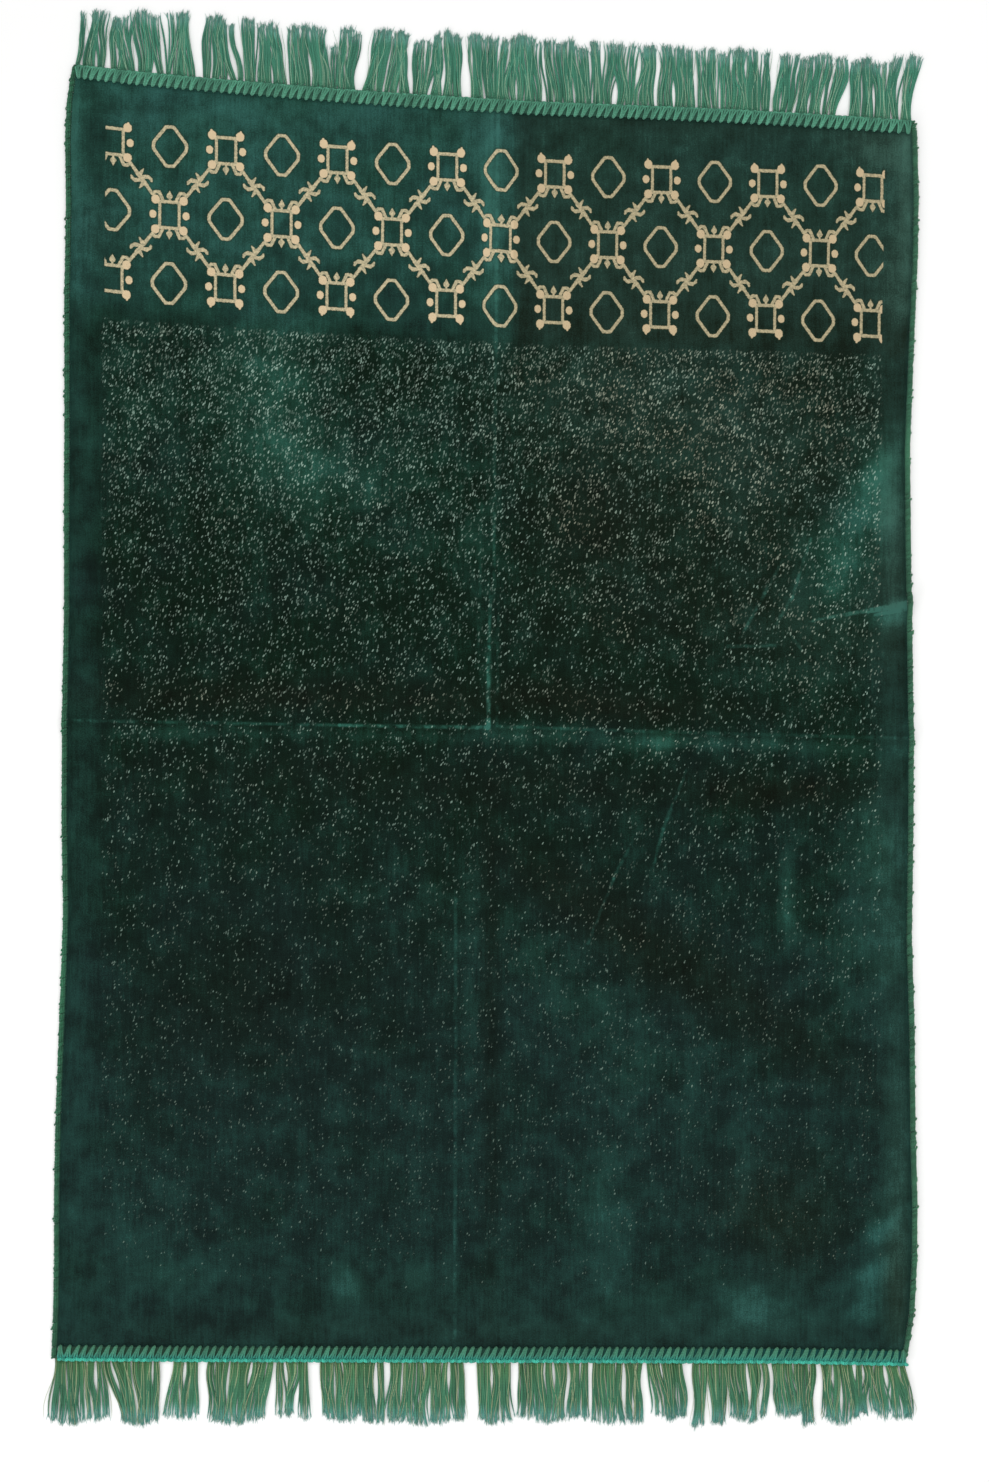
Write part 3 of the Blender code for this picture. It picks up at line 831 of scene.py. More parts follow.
# Pile and yarn colours of the pattern and the back.
COOL_FLECK = (0.36, 0.52, 0.43, 1)
WARM_FLECK = (0.50, 0.46, 0.32, 1)
WORN_GOLD = (0.36, 0.33, 0.215, 1)
FULL_GOLD = (0.66, 0.56, 0.35, 1)
DOT_GOLD = (0.71, 0.555, 0.35, 1)
SHADED_GOLD = (0.20, 0.15, 0.06, 1)
GOLD_SHADOW = (0.014, 0.034, 0.020, 1)
BACK_WARP = (0.012, 0.035, 0.028, 1)
BACK_WEFT = (0.055, 0.12, 0.085, 1)
BACK_GOLD = (0.35, 0.27, 0.15, 1)


def ramp(tree, value, stops):
    """A colour that runs through several stops."""
    made = tree.nodes.new("ShaderNodeValToRGB")
    made.color_ramp.elements[0].color = (*stops[0][1], 1)
    made.color_ramp.elements[1].color = (*stops[-1][1], 1)
    for at, colour in stops[1:-1]:
        made.color_ramp.elements.new(at).color = (*colour, 1)
    tree.links.new(value, made.inputs[0])
    return made.outputs[0]


def parted_and_lit_pile(tree, line_group, place, light):
    """Lighter lines, here and there broken, along a crease: partly the parted pile's colour and partly a
    painted highlight on the crest.
    """
    broken = ease(tree, speckle(tree, stretched(tree, place, (0.1, 0.1, 1.0)), 1.0, 3.0, 0.6), 0.3, 0.65)
    for *row, strength in PARTED_AND_LIT:
        near = ease(tree, line_from(tree, line_group, place, row), 2.0, 0.0, 0.0, strength)
        light = times_plus(tree, times(tree, near, broken), 0.7, light)
    return light


def ground_colour(tree, place, light, warm):
    """The plain pile's colour, where a light of 0 lies away from the light and 1 catches it."""
    blue = speckle_about(tree, attribute(tree, "blue"), 1.4, place, 0.016)
    green = mix(tree, blue, ramp(tree, light, DEEP_GREENS), ramp(tree, light, BLUE_GREENS))
    return mix(tree, warm, green, ramp(tree, light, WARM_GREENS))


def with_flecks(tree, flecks, place, band, sheen_and_shade, warm, base):
    """Flecks in three slants, thick below the band, and fewer, smaller and dimmer towards the plain end."""
    x, y = split(tree, place)
    band_column, band_row = split(tree, band)
    start_row = times_plus(tree, band_column, FIELD_ROW_SLOPE, FIELD_ROW)
    below = ease(tree, less(tree, band_row, start_row), -0.04, 0.04)
    field = times(tree, below, times(tree, ease(tree, x, *FIELD_LEFT), ease(tree, x, *FIELD_RIGHT)))
    clumps = less(tree, speckle(tree, place, 0.04, 3.0, 0.6), 0.5)
    many = calc(tree, "POWER", ease_straight(tree, y, *FLECKS_GROW), FLECKS_POWER)
    any_left = ease(tree, y, *FLECKS_END)
    large = ease(tree, y, *FLECKS_SIZE)
    # Flecks are lighter where the pile has painted sheen, and darker where it has painted shade.
    bright = times(tree, ease(tree, y, *FLECKS_BRIGHT), times_plus(tree, sheen_and_shade, 1.25, 0.65))
    fleck_warm = times_plus(tree, speckle(tree, place, 0.02), 1.6, -0.9)
    fleck_warm = times_plus(tree, warm, 0.7, fleck_warm, clamp=True)
    fleck_colour = mix(tree, fleck_warm, COOL_FLECK, WARM_FLECK)
    for cell_wide, cell_long, turned, size, least_many, most_many in FLECKS:
        moved = vector(tree, "ADD", place, (turned * 3.1, turned * 5.3, 0.0))
        in_cells = stretched(tree, moved, (1 / cell_wide, 1 / cell_long, 0.0), turned)
        amount = times_plus(tree, many, most_many - least_many, least_many)
        amount = times(tree, amount, times_plus(tree, clumps, 2.4, 1.0))
        amount = times(tree, amount, any_left)
        cells = use(tree, flecks, Place=in_cells, Amount=amount, Size=times(tree, large, size))
        fleck, shade = cells.outputs
        shown = times(tree, times(tree, fleck, field), bright)
        base = mix(tree, times(tree, shown, times_plus(tree, shade, 0.46, 0.07)), base, fleck_colour)
    return base


def with_lattice(tree, lattice, place, band, warm, base):
    """The gold lattice, each tuft's edge a little ragged, some of it worn, with a painted shadow of dark
    green pile round it.
    """
    ragged = node(tree, "ShaderNodeTexNoise", place, None, 0.8, 2.0, 0.5, out=1, noise_dimensions="3D")
    ragged = vector(tree, "SUBTRACT", ragged, (0.5, 0.5, 0.5))
    ragged = vector(tree, "MULTIPLY", ragged, (1.2 / CELL_WIDE, 1.2 / CELL_LONG, 0.0))
    pattern = use(tree, lattice, Band_Place=vector(tree, "ADD", band, ragged)).outputs
    worn = speckle(tree, place, 0.5, 3.0, 0.7)
    gold = mix(tree, ease(tree, worn, 0.35, 0.65), WORN_GOLD, FULL_GOLD)
    gold = mix(tree, pattern["Dots"], gold, DOT_GOLD)
    gold = mix(tree, ease(tree, warm, 0.15, 0.4, 0.0, 0.22), gold, SHADED_GOLD)
    # A painted shadow of dark green pile round the gold tufts.
    base = mix(tree, times(tree, pattern["Rim"], 0.45), base, GOLD_SHADOW)
    return mix(tree, pattern["Gold"], base, gold)


def velour_material(lattice, flecks, line_group):
    """Cut pile: a brushed ground with painted sheen and shade, the field of flecks and the gold lattice."""
    made, tree, shader = bare_material(
        "Velour pile", 0.95, sheen=0.12, sheen_tint=(0.2, 0.8, 0.65), sheen_roughness=0.3, specular=0.03
    )
    place = vector(tree, "MULTIPLY", in_millimetres(tree), (1.0, 1.0, 0.0))
    band = node(tree, "ShaderNodeUVMap", uv_map="Band")
    sheen_and_shade, warm = attribute(tree, "sheen_and_shade"), attribute(tree, "warm")

    # The painted sheen and shade, with fine upright streaks, mottling and grain.
    streaks = speckle(tree, stretched(tree, place, (0.42, 0.03, 1.0)), 1.0, 3.0, 0.6)
    light = times_plus(tree, less(tree, streaks, 0.5), 0.34, sheen_and_shade)
    light = speckle_about(tree, light, 0.75, place, 0.045, 4.0, 0.62)
    light = speckle_about(tree, light, 0.55, place, 0.9, 2.0, 0.6)
    light = parted_and_lit_pile(tree, line_group, place, light)
    base = ground_colour(tree, place, light, warm)
    base = with_flecks(tree, flecks, place, band, sheen_and_shade, warm, base)
    base = with_lattice(tree, lattice, place, band, warm, base)
    tree.links.new(base, shader.inputs["Base Color"])

    tufts = speckle(tree, place, 1.6, 2.0, 0.7)
    bumped(tree, shader, times_plus(tree, streaks, 0.5, tufts), 0.0006)
    return made


def ribs(tree, place, direction, scale):
    """The ribs of the back's threads in one direction."""
    made = tree.nodes.new("ShaderNodeTexWave")
    made.bands_direction = direction
    put(tree, made.inputs["Vector"], place)
    put(tree, made.inputs["Scale"], scale)
    return made.outputs[1]


def backing_material(lattice):
    """The woven back: ribs of weft and warp with the lattice showing through."""
    made, tree, shader = bare_material("Woven back", 0.9, specular=0.2)
    place = in_millimetres(tree)
    over = times(tree, ribs(tree, place, "Y", 0.3), ribs(tree, place, "X", 0.22))
    pattern = use(tree, lattice, Band_Place=node(tree, "ShaderNodeUVMap", uv_map="Band")).outputs
    base = mix(tree, over, BACK_WARP, BACK_WEFT)
    base = mix(tree, times(tree, pattern["Gold"], 0.7), base, BACK_GOLD)
    tree.links.new(base, shader.inputs["Base Color"])
    bumped(tree, shader, over, 0.0005)
    return made


# ---------------------------------------------------------------- modelling

# The cloth's mesh runs across and along the panel, and is finer where the deep folds cross.
MESH_ACROSS, FINE_ACROSS = (-345.0, 350.0), (-34.0, 24.0)
MESH_ALONG, FINE_ALONG = (-521.0, 505.0), (-30.0, 12.0)
MESH_STEP = 4.7
FINE_STEP = 2.2
PANEL_WIDE = 696.0
PANEL_LONG = 1030.0
# How the pile rounds off at the rim.
RIM_WIDE = 8.0
RIM_FALL = 0.8
# The woven band: its middle, its half width, the column in its middle, and how far that one is drawn aside.
BAND_MIDDLE = 6.0
BAND_HALF = 314.2
MIDDLE_COLUMN = 7
DRAWN_ASIDE = 0.163
BAND_LONG = 205.0  # from the panel's top edge to where the band's lighter, painted sheen ends
# How the outlines of the areas of painted sheen and shade wander: waves to the millimetre, and one layer of
# noise each for across and along.
WANDER_FINE = 0.012
WANDER_LAYERS = (3.1, 8.6)


def deselect():
    """Leaves nothing selected, because an operator acts on all that is."""
    for obj in bpy.context.selected_objects:
        obj.select_set(False)


def stations(span, fine_span):
    """Places along one side of the cloth, closer together in one stretch, as fractions of the whole."""
    start, stop = span
    fine_from, fine_to = fine_span
    before = max(1, round((fine_from - start) / MESH_STEP))
    within = max(1, round((fine_to - fine_from) / FINE_STEP))
    after = max(1, round((stop - fine_to) / MESH_STEP))
    places = np.concatenate(
        [
            np.linspace(start, fine_from, before, endpoint=False),
            np.linspace(fine_from, fine_to, within, endpoint=False),
            np.linspace(fine_to, stop, after + 1),
        ]
    )
    return (places - start) / (stop - start)


def points_of(mesh):
    """All points of a mesh."""
    flat = np.empty(len(mesh.vertices) * 3)
    mesh.vertices.foreach_get("co", flat)
    return flat.reshape(-1, 3)


def fill_map(mesh, layer, values):
    """Fills a UV map from two numbers at each point."""
    corners = np.empty(len(mesh.loops), int)
    mesh.loops.foreach_get("vertex_index", corners)
    layer.data.foreach_set("uv", values[corners].ravel())


def keep_number(mesh, name, values):
    """Keeps a number at each point, for the materials."""
    layer = mesh.attributes.new(name, "FLOAT", "POINT")
    layer.data.foreach_set("value", values)


def sheen_and_shade_at(x, y):
    """How light the pile is painted at each place, its painted sheen and shade, and how blue and how warm
    its green is.
    """
    places = [(px * WANDER_FINE, py * WANDER_FINE) for px, py in zip(x, y)]
    wander = np.array([[noise.noise((*place, layer)) for layer in WANDER_LAYERS] for place in places])
    # Broad areas painted lighter or darker, and bluer or warmer: the band, the right half, what lies below
    # the middle, and the plain margins at the sides.
    below_top = end_line(x, 1) - y
    band = np.clip((BAND_LONG - below_top) / 26.0, 0.0, 1.0)
    right_half = np.clip((x - 20.0) / 9.0, 0.0, 1.0)
    low = np.clip((20.0 - y - 20 * wander[:, 0]) / 340.0, 0.0, 1.0)
    margin = np.clip(np.maximum(-300.0 - x, x - 312.0) / 30.0 + 0.4 * wander[:, 1], 0.0, 1.0)
    lean = 0.29 + band * (0.39 - 0.15 * right_half - 0.13 * np.clip((below_top - 125.0) / 40.0, 0.0, 1.0))
    lean += 0.05 * low + 0.05 * margin
    field_warm = np.clip((x + 20.0) / 120.0, 0.0, 1.0) * np.clip((y - 20.0) / 60.0, 0.0, 1.0)
    warm = np.maximum(band * right_half * np.clip(0.4 + below_top / 300.0, 0.0, 0.8), 0.45 * field_warm)
    # Single patches of painted sheen or shade, with outlines that wander.
    for patch_x, patch_y, reach_x, reach_y, turned, amount, warmer in SHEEN_AND_SHADE_PATCHES:
        cos, sin = math.cos(math.radians(turned)), math.sin(math.radians(turned))
        stray = min(24.0, 0.5 * min(reach_x, reach_y))
        off_x, off_y = x + stray * wander[:, 0] - patch_x, y + stray * wander[:, 1] - patch_y
        across, along = off_x * cos + off_y * sin, off_y * cos - off_x * sin
        near = np.exp(-((across / reach_x) ** 2) - (along / reach_y) ** 2)
        lean += amount * near
        warm += warmer * near
    blue = np.maximum(np.maximum(0.62 * band, 0.6 * margin), 0.08 + 0.92 * low)
    return lean, blue, np.clip(warm, 0.0, 1.0)


def band_place(x, y):
    """The column and the row of the woven band at each place, counted on past its edges."""
    stray = [np.interp(x, column(BAND_STRAY, 0), column(BAND_STRAY, index)) for index in (1, 2, 3, 4)]
    top_x, low_x, top_y, low_y = stray
    below_top = end_line(x, 1) - y
    row = np.clip((below_top - FIRST_ROW) / (2 * CELL_LONG), 0.0, 1.0)
    from_middle = (x + top_x + row * (low_x - top_x) - BAND_MIDDLE) / BAND_HALF
    counted = MIDDLE_COLUMN + MIDDLE_COLUMN * from_middle - DRAWN_ASIDE * (1 - from_middle**2)
    down = (below_top + top_y + row * (low_y - top_y) - FIRST_ROW) / CELL_LONG
    return np.stack([counted, down], axis=1)


def finish_pile(mesh, across, along, lift):
    """Lets the pile fall off towards the rim, and tells which points lie on the pile's side."""
    points = points_of(mesh)
    face = points[:, 2] > (np.tile(lift, 2) + PANEL_THICK / 2) * MM
    sideways, lengthways = np.minimum(across, 1 - across), np.minimum(along, 1 - along)
    rim = np.tile(np.minimum(sideways * PANEL_WIDE, lengthways * PANEL_LONG), 2)
    fall = RIM_FALL * np.clip(1 - rim / RIM_WIDE, 0.0, 1.0) ** 2
    points[face, 2] -= fall[face] * MM
    mesh.vertices.foreach_set("co", points.ravel())
    return face


def velour_cloth(pile, backing):
    """The panel as one sheet of cloth over its folds: a woven back, and pile that rounds off at the rim."""
    columns, rows = stations(MESH_ACROSS, FINE_ACROSS), stations(MESH_ALONG, FINE_ALONG)
    deselect()
    bpy.ops.mesh.primitive_grid_add(x_subdivisions=len(columns) - 1, y_subdivisions=len(rows) - 1, size=1)
    cloth = bpy.context.object
    cloth.name = cloth.data.name = "velour_cloth"
    mesh = cloth.data
    grid = points_of(mesh)
    across = columns[np.round((grid[:, 0] + 0.5) * (len(columns) - 1)).astype(int)]
    along = rows[np.round((grid[:, 1] + 0.5) * (len(rows) - 1)).astype(int)]
    x, y = on_panel(across, along)
    lift = fold_height(x, y)
    mesh.vertices.foreach_set("co", (np.stack([x, y, lift], axis=1) * MM).ravel())
    thicken = cloth.modifiers.new("Pile", "SOLIDIFY")
    thicken.thickness = PANEL_THICK * MM
    thicken.offset = 1.0
    bpy.ops.object.modifier_apply(modifier=thicken.name)

    face = finish_pile(mesh, across, along, lift)
    mesh.materials.append(backing)
    mesh.materials.append(pile)
    on_face = [int(any(face[corner] for corner in polygon.vertices)) for polygon in mesh.polygons]
    mesh.polygons.foreach_set("material_index", on_face)
    layer = mesh.uv_layers[0]
    layer.name = "Band"
    fill_map(mesh, layer, np.tile(band_place(x, y), (2, 1)))
    for name, values in zip(("sheen_and_shade", "blue", "warm"), sheen_and_shade_at(x, y)):
        keep_number(mesh, name, np.tile(values, 2))
    bpy.ops.object.shade_smooth()
    return cloth


def yarn_shape(rings, sides):
    """One short yarn modelled once: (points with x, y across and z the ring, faces)."""
    deselect()
    bpy.ops.mesh.primitive_cylinder_add(vertices=sides, radius=1, depth=1)
    yarn = bpy.context.object
    bpy.ops.object.mode_set(mode="EDIT")
    bpy.ops.mesh.select_mode(type="EDGE")
    bpy.ops.mesh.select_all(action="DESELECT")
    bpy.ops.object.mode_set(mode="OBJECT")
    for edge in yarn.data.edges:
        ends = [yarn.data.vertices[corner].co.z for corner in edge.vertices]
        edge.select = abs(ends[0] - ends[1]) > 0.5
    bpy.ops.object.mode_set(mode="EDIT")
    bpy.ops.mesh.subdivide(number_cuts=rings - 2)
    bpy.ops.object.mode_set(mode="OBJECT")
    points = points_of(yarn.data)
    points[:, 2] = np.round((points[:, 2] + 0.5) * (rings - 1))
    faces = [tuple(polygon.vertices) for polygon in yarn.data.polygons]
    bpy.data.meshes.remove(yarn.data)
    return points, faces


def one_long(directions):
    """Directions shortened or stretched to a length of 1."""
    return directions / np.maximum(np.linalg.norm(directions, axis=2, keepdims=True), 1e-9)


def across_yarns(paths, widest_along):
    """The two directions across each yarn at its rings: its width's and its thickness's."""
    ahead = one_long(np.gradient(paths, axis=1))
    if widest_along is None:
        aside = np.cross((0.0, 0.0, 1.0), ahead)
    else:
        aside = widest_along - ahead * (ahead @ np.array(widest_along))[..., None]
    aside = one_long(aside)
    return aside, np.cross(ahead, aside)


def lay_yarns(name, shape, paths, half_wide, half_thick, material, shades, widest_along=None):
    """One mesh of many copies of a yarn. paths is in millimetres: copies x rings x 3.

    A yarn is widest level with the floor, or along widest_along where it winds round an edge.
    """
    points, faces = shape
    corners = len(points)
    paths = np.asarray(paths, float)
    count, rings = paths.shape[:2]
    ring = points[:, 2].astype(int)
    aside, above = across_yarns(paths, widest_along)
    wide = np.broadcast_to(half_wide, (count, rings))[:, ring, None]
    thick = np.broadcast_to(half_thick, (count, rings))[:, ring, None]
    laid = paths[:, ring] + aside[:, ring] * wide * points[None, :, 0:1]
    laid = laid + above[:, ring] * thick * points[None, :, 1:2]
    firsts = range(0, count * corners, corners)
    all_faces = [tuple(first + corner for corner in face) for first in firsts for face in faces]
    mesh = bpy.data.meshes.new(name)
    mesh.from_pydata((laid.reshape(-1, 3) * MM).tolist(), [], all_faces)
    obj = bpy.data.objects.new(name, mesh)
    bpy.context.scene.collection.objects.link(obj)
    mesh.materials.append(material)

    steps = np.cumsum(np.linalg.norm(np.diff(paths, axis=1), axis=2), axis=1)
    run = np.concatenate([np.zeros((count, 1)), steps], axis=1)
    uv = np.stack([np.broadcast_to(points[:, 0], (count, corners)), run[:, ring]], axis=2)
    fill_map(mesh, mesh.uv_layers.new(name="Yarn"), uv.reshape(-1, 2))
    keep_number(mesh, "shade", np.repeat(np.asarray(shades, float), corners))
    keep_number(mesh, "reach", np.tile(ring / (rings - 1), count))
    mesh.validate()
    mesh.polygons.foreach_set("use_smooth", [True] * len(mesh.polygons))
    return obj


def join(name, *objects):
    """Joins pieces into the first one."""
    deselect()
    for obj in objects:
        obj.select_set(True)
    bpy.context.view_layer.objects.active = objects[0]
    bpy.ops.object.join()
    objects[0].name = objects[0].data.name = name
    return objects[0]


def swell(rings, ends):
    """A yarn's width along it: 1 in the middle and `ends` at both ends."""
    at = np.linspace(-1, 1, rings)
    return 1 - (1 - ends) * np.abs(at) ** 4


def heading_ends(end):
    """Where a heading starts and stops across the rug."""
    left_y, right_y = HEADING_CORNERS[end]
    return side_x(-1, left_y), side_x(1, right_y)


# A serged edge's cord: how high its middle lies, and its half width and half thickness.
CORD_UP = 2.2
CORD_HALF = (1.75, 1.7)
# The overlock thread: its spacing, the part of its turn that is made, in degrees, how far it runs along the
# edge to each side meanwhile, how far out, from what height and how far up it goes, and its half sizes.
THREAD_APART = 1.95
THREAD_TURN = (-28, 208)
THREAD_RUN = 1.9
THREAD_OUT = 2.1
THREAD_MIDDLE_UP = 2.3
THREAD_RISE = 1.95
THREAD_HALF = (0.95, 0.5)
LOOSE_SHARE = 0.12  # how many of its stitches stand off a little


def serging(side, name, yarn, draws, glint_y, glint_reach):
    """A serged edge: a cord along the selvedge and the thread wound over it.

    The thread is paler about glint_y, where the edge turns to the light.
    """
    corner = ENDS[0] if side < 0 else ENDS[-1]
    start, stop = corner[1] - GAP - HEADING_WIDE, corner[2] + GAP + HEADING_WIDE
    to_middle = side * (GAP + BINDING_WIDE / 2)
    places = np.linspace(start, stop, CORE_RINGS)
    edge = side_x(side, places)
    cord = np.stack([edge + to_middle, places, fold_height(edge, places) + CORD_UP], axis=1)[None]
    # The cord is given a dark shade: painted shade where it shows between the stitches of thread.
    core = lay_yarns(name + "_core", yarn_shape(CORE_RINGS, 8), cord, *CORD_HALF, yarn, [-0.5])

    count = int((stop - start) / THREAD_APART)
    stitch_y = np.linspace(start + 1.5, stop - 1.5, count) + draws.normal(0, 0.2, count)
    edge = side_x(side, stitch_y)
    angles = np.radians(np.linspace(*THREAD_TURN, STITCH_RINGS))
    loose = np.where(draws.random(count) < LOOSE_SHARE, draws.uniform(0.3, 1.3, count), 0.0)
    reach = THREAD_OUT + draws.normal(0, 0.14, count)[:, None]
    reach = reach + loose[:, None] * np.clip(-np.cos(angles), 0, 1)
    x = (edge + to_middle)[:, None] - side * reach * np.cos(angles)[None]
    y = stitch_y[:, None] + side * np.linspace(-THREAD_RUN, THREAD_RUN, STITCH_RINGS)[None]
    z = (fold_height(edge, stitch_y) + THREAD_MIDDLE_UP)[:, None] + THREAD_RISE * np.sin(angles)[None]
    paths = np.stack([x, y, z], axis=2)
    glint = np.exp(-(((stitch_y - glint_y) / glint_reach) ** 2))
    shades = 0.8 * draws.random(count) * (1 - glint) + glint
    wide, thick = THREAD_HALF
    wide = wide * swell(STITCH_RINGS, 0.6)
    shape = yarn_shape(STITCH_RINGS, 6)
    thread = lay_yarns(name + "_thread", shape, paths, wide, thick, yarn, shades, (0.0, 1.0, 0.0))
    return join(name, core, thread)


# The roll inside a heading: how high its middle lies, and its half width and half thickness.
ROLL_UP = 2.15
ROLL_HALF = (5.5, 2.0)
# A stitch from the pile, over the roll and down behind it: outward place, height, how far its yarns fan out.
STITCH_PATH = [
    (-1.8, 4.0, 0.6),
    (-0.9, 4.9, 0.85),
    (0.9, 5.6, 0.95),
    (3.0, 5.9, 1.15),
    (5.0, 5.7, 1.5),
    (6.8, 5.0, 1.85),
    (8.4, 4.0, 2.0),
    (9.4, 2.9, 2.0),
    (10.0, 1.7, 2.0),
]
STITCH_MIDDLE = 4.6  # the outward place in the middle of a stitch's slant
STITCH_YARNS = 3
STITCH_HALF_THICK = 0.75


def whip_stitches(end, count, name, yarn, draws, yarns_apart, roll_shade):
    """A heading: a thick roll overcast with slanted stitches of several yarns each."""
    left, right = heading_ends(end)
    xs = np.linspace(left + 1.0, right - 0.5, CORE_RINGS)
    y = end_line(xs, end) + end * HEADING_WIDE / 2
    roll = np.stack([xs, y, fold_height(xs, y) + ROLL_UP], axis=1)[None]
    # The roll is given a dark shade (roll_shade below 0): painted shade where it shows between and under the
    # stitches.
    core = lay_yarns(name + "_core", yarn_shape(CORE_RINGS, 8), roll, *ROLL_HALF, yarn, [roll_shade])

    out, height, fan = (column(STITCH_PATH, index) for index in range(3))
    paths, shades = [], []
    for stitch in range(count):
        middle = left + (stitch + 0.5) / count * (right - left)
        near_end = min(1.0, stitch / 2.0, (count - 1 - stitch) / 2.0)
        lean = STITCH_SLANT * near_end + draws.normal(0, 0.25)
        own = draws.random()
        for strand in range(STITCH_YARNS):
            aside = strand - (STITCH_YARNS - 1) / 2
            x = middle + aside * yarns_apart * fan + end * lean * (out - STITCH_MIDDLE) / HEADING_WIDE
            short = 0.6 * abs(aside) * np.clip(1 - (out + 1.8) / 3.0, 0, 1)
            y = end_line(x, end) + end * (GAP + out + short)
            crown = height - 0.3 * aside**2 + draws.normal(0, 0.06)
            paths.append(np.stack([x, y, fold_height(x, y) + crown], axis=1))
            shades.append(0.35 * own + 0.65 * draws.random())
    wide = 0.72 * yarns_apart * np.interp(out, (-1.8, -0.6, 5.5, 10.0), (0.55, 0.95, 1.0, 1.3))
    shape = yarn_shape(STITCH_RINGS, 6)
    stitches = lay_yarns(name + "_stitches", shape, paths, wide, STITCH_HALF_THICK, yarn, shades)
    return join(name, core, stitches)


# The chained thread's links: their spacing, length, how far they arch up, and half thickness.
LINK_APART = 2.9
LINK_LONG = 4.3
LINK_ARCH = 0.75
LINK_HALF_THICK = 0.6


def chain(end, name, yarn, draws, outward, half_wide, zigzag, height):
    """The chained thread along a heading's outer side, that holds the fringe."""
    left, right = heading_ends(end)
    links = int((right - left) / LINK_APART)
    starts = np.linspace(left + 0.5, right - 3.0, links)
    part = np.linspace(0, 1, LINK_RINGS)
    x = starts[:, None] + LINK_LONG * part[None]
    across = zigzag * np.where(np.arange(links) % 2, 1, -1)[:, None] * (1 - 2 * part[None])
    y = end_line(x, end) + end * outward + across + draws.normal(0, 0.12, (links, 1))
    z = height + LINK_ARCH * np.sin(math.pi * part)[None] + 0 * x
    paths = np.stack([x, y, z], axis=2)
    wide = half_wide * swell(LINK_RINGS, 0.5)
    shape = yarn_shape(LINK_RINGS, 6)
    return lay_yarns(name, shape, paths, wide, LINK_HALF_THICK, yarn, draws.random(links))


# Fringe: half widths of yarns and stray hairs, from the thinnest to the thickest, and of a frayed hair.
YARN_HALF = (0.6, 0.88)
HAIR_HALF = (0.16, 0.26)
FRAY_HALF = 0.3
LOWEST = 0.8  # a yarn's middle where it lies on the floor
WIDEST_ROOT = 6.4  # of one bundle
FULL_TURN = 6.3  # of a yarn's waves

# Where one bundle's root and tip are, its widths, its bends, how far out its tip is, and its own shade.
Bundle = namedtuple("Bundle", "root root_wide pitch gather tip tip_wide bow sway tip_y own")


def lay_bundle(end, lock, number, draws, fullness):
    """One of a lock's bundles, tight at the root and shorter at the lock's sides."""
    root0, root1, tip0, tip1, tip_y, bundles = lock
    middle = (number / bundles + (number + 1) / bundles) / 2
    pitch = (root1 - root0) / bundles
    root = root0 + middle * (root1 - root0)
    tip = tip0 + middle * (tip1 - tip0) + draws.normal(0, 1.3)
    root_wide = min(pitch, WIDEST_ROOT) * draws.uniform(0.65, 0.92)
    own = draws.random()
    bow, sway = draws.normal(0, 1.3), draws.normal(0, 0.8)
    gather = fullness * draws.uniform(0.85, 1.2)
    tip_wide = fullness * (tip1 - tip0) / bundles * draws.uniform(0.85, 1.25)
    outer = min(1.0, bundles / 5) * abs(2 * middle - 1) ** 1.5
    tip_y = tip_y - end * (draws.uniform(0, 2.5) + 4.5 * outer)
    return Bundle(root, root_wide, pitch, gather, tip, tip_wide, bow, sway, tip_y, own)


def fringe_path(end, bundle, strand, hair, draws):
    """The way of one yarn or stray hair from its root to its wavy tip."""
    part = np.linspace(0, 1, FRINGE_RINGS)
    spread = np.interp(part, (0, 0.1, 0.3, 0.6, 1), (0, 0.1, 0.5, 1, 1))
    drift = part * part * (3 - 2 * part)
    share = draws.random() if hair else (strand + 0.5) / BUNDLE_YARNS
    mixed = np.clip(share + draws.normal(0, 0.1), 0.03, 0.97)
    root_x = bundle.root + (mixed - 0.5) * bundle.root_wide
    middle_x = bundle.root + (mixed - 0.5) * bundle.pitch * bundle.gather
    tip_x = bundle.tip + (mixed - 0.5 + draws.normal(0, 0.18)) * bundle.tip_wide
    tip_x += draws.normal(0, 2.2 if hair else 0.5)
    x = root_x + spread * (middle_x - root_x) + drift * (tip_x - middle_x)
    x = x + bundle.bow * np.sin(math.pi * part) + bundle.sway * np.sin(2 * math.pi * part)
    waves = draws.uniform(0.6, 1.8) if hair else draws.uniform(0.2, 0.7)
    x = x + waves * part * np.sin(part * draws.uniform(4, 11) + draws.uniform(0, FULL_TURN))
    start_y = root_line(root_x, end) - end * 3.0
    short = abs(draws.normal(0, 1.8)) + 5.0 * abs(mixed - 0.5)
    stop_y = bundle.tip_y - end * short + end * (1.5 if hair else 0.6)
    layer = 1.2 if hair else draws.random()
    z = LOWEST + 1.9 * layer * (1 - 0.5 * part)
    z = np.maximum(z + 0.4 * np.sin(part * 9 + draws.uniform(0, FULL_TURN)) * part, LOWEST)
    z[0] = 1.2 + 0.6 * min(layer, 1.0)
    return np.stack([x, start_y + part * (stop_y - start_y), z], axis=1)


def frayed_end(end, side, path, draws):
    """The way of a hair that frays out of a yarn's end to one side."""
    part = np.linspace(0, 1, FRAY_RINGS)
    (x, y, z), (tip_x, tip_y, _) = path[-2:]
    reach_x, reach_y = side * abs(draws.normal(0.6, 1.1)), end * draws.uniform(0.4, 3.4)
    fray_x = x + part * (tip_x - x + reach_x * part)
    fray_y = y + part * (tip_y - y + reach_y)
    return np.stack([fray_x, fray_y, z + part * (0.9 - z)], axis=1)


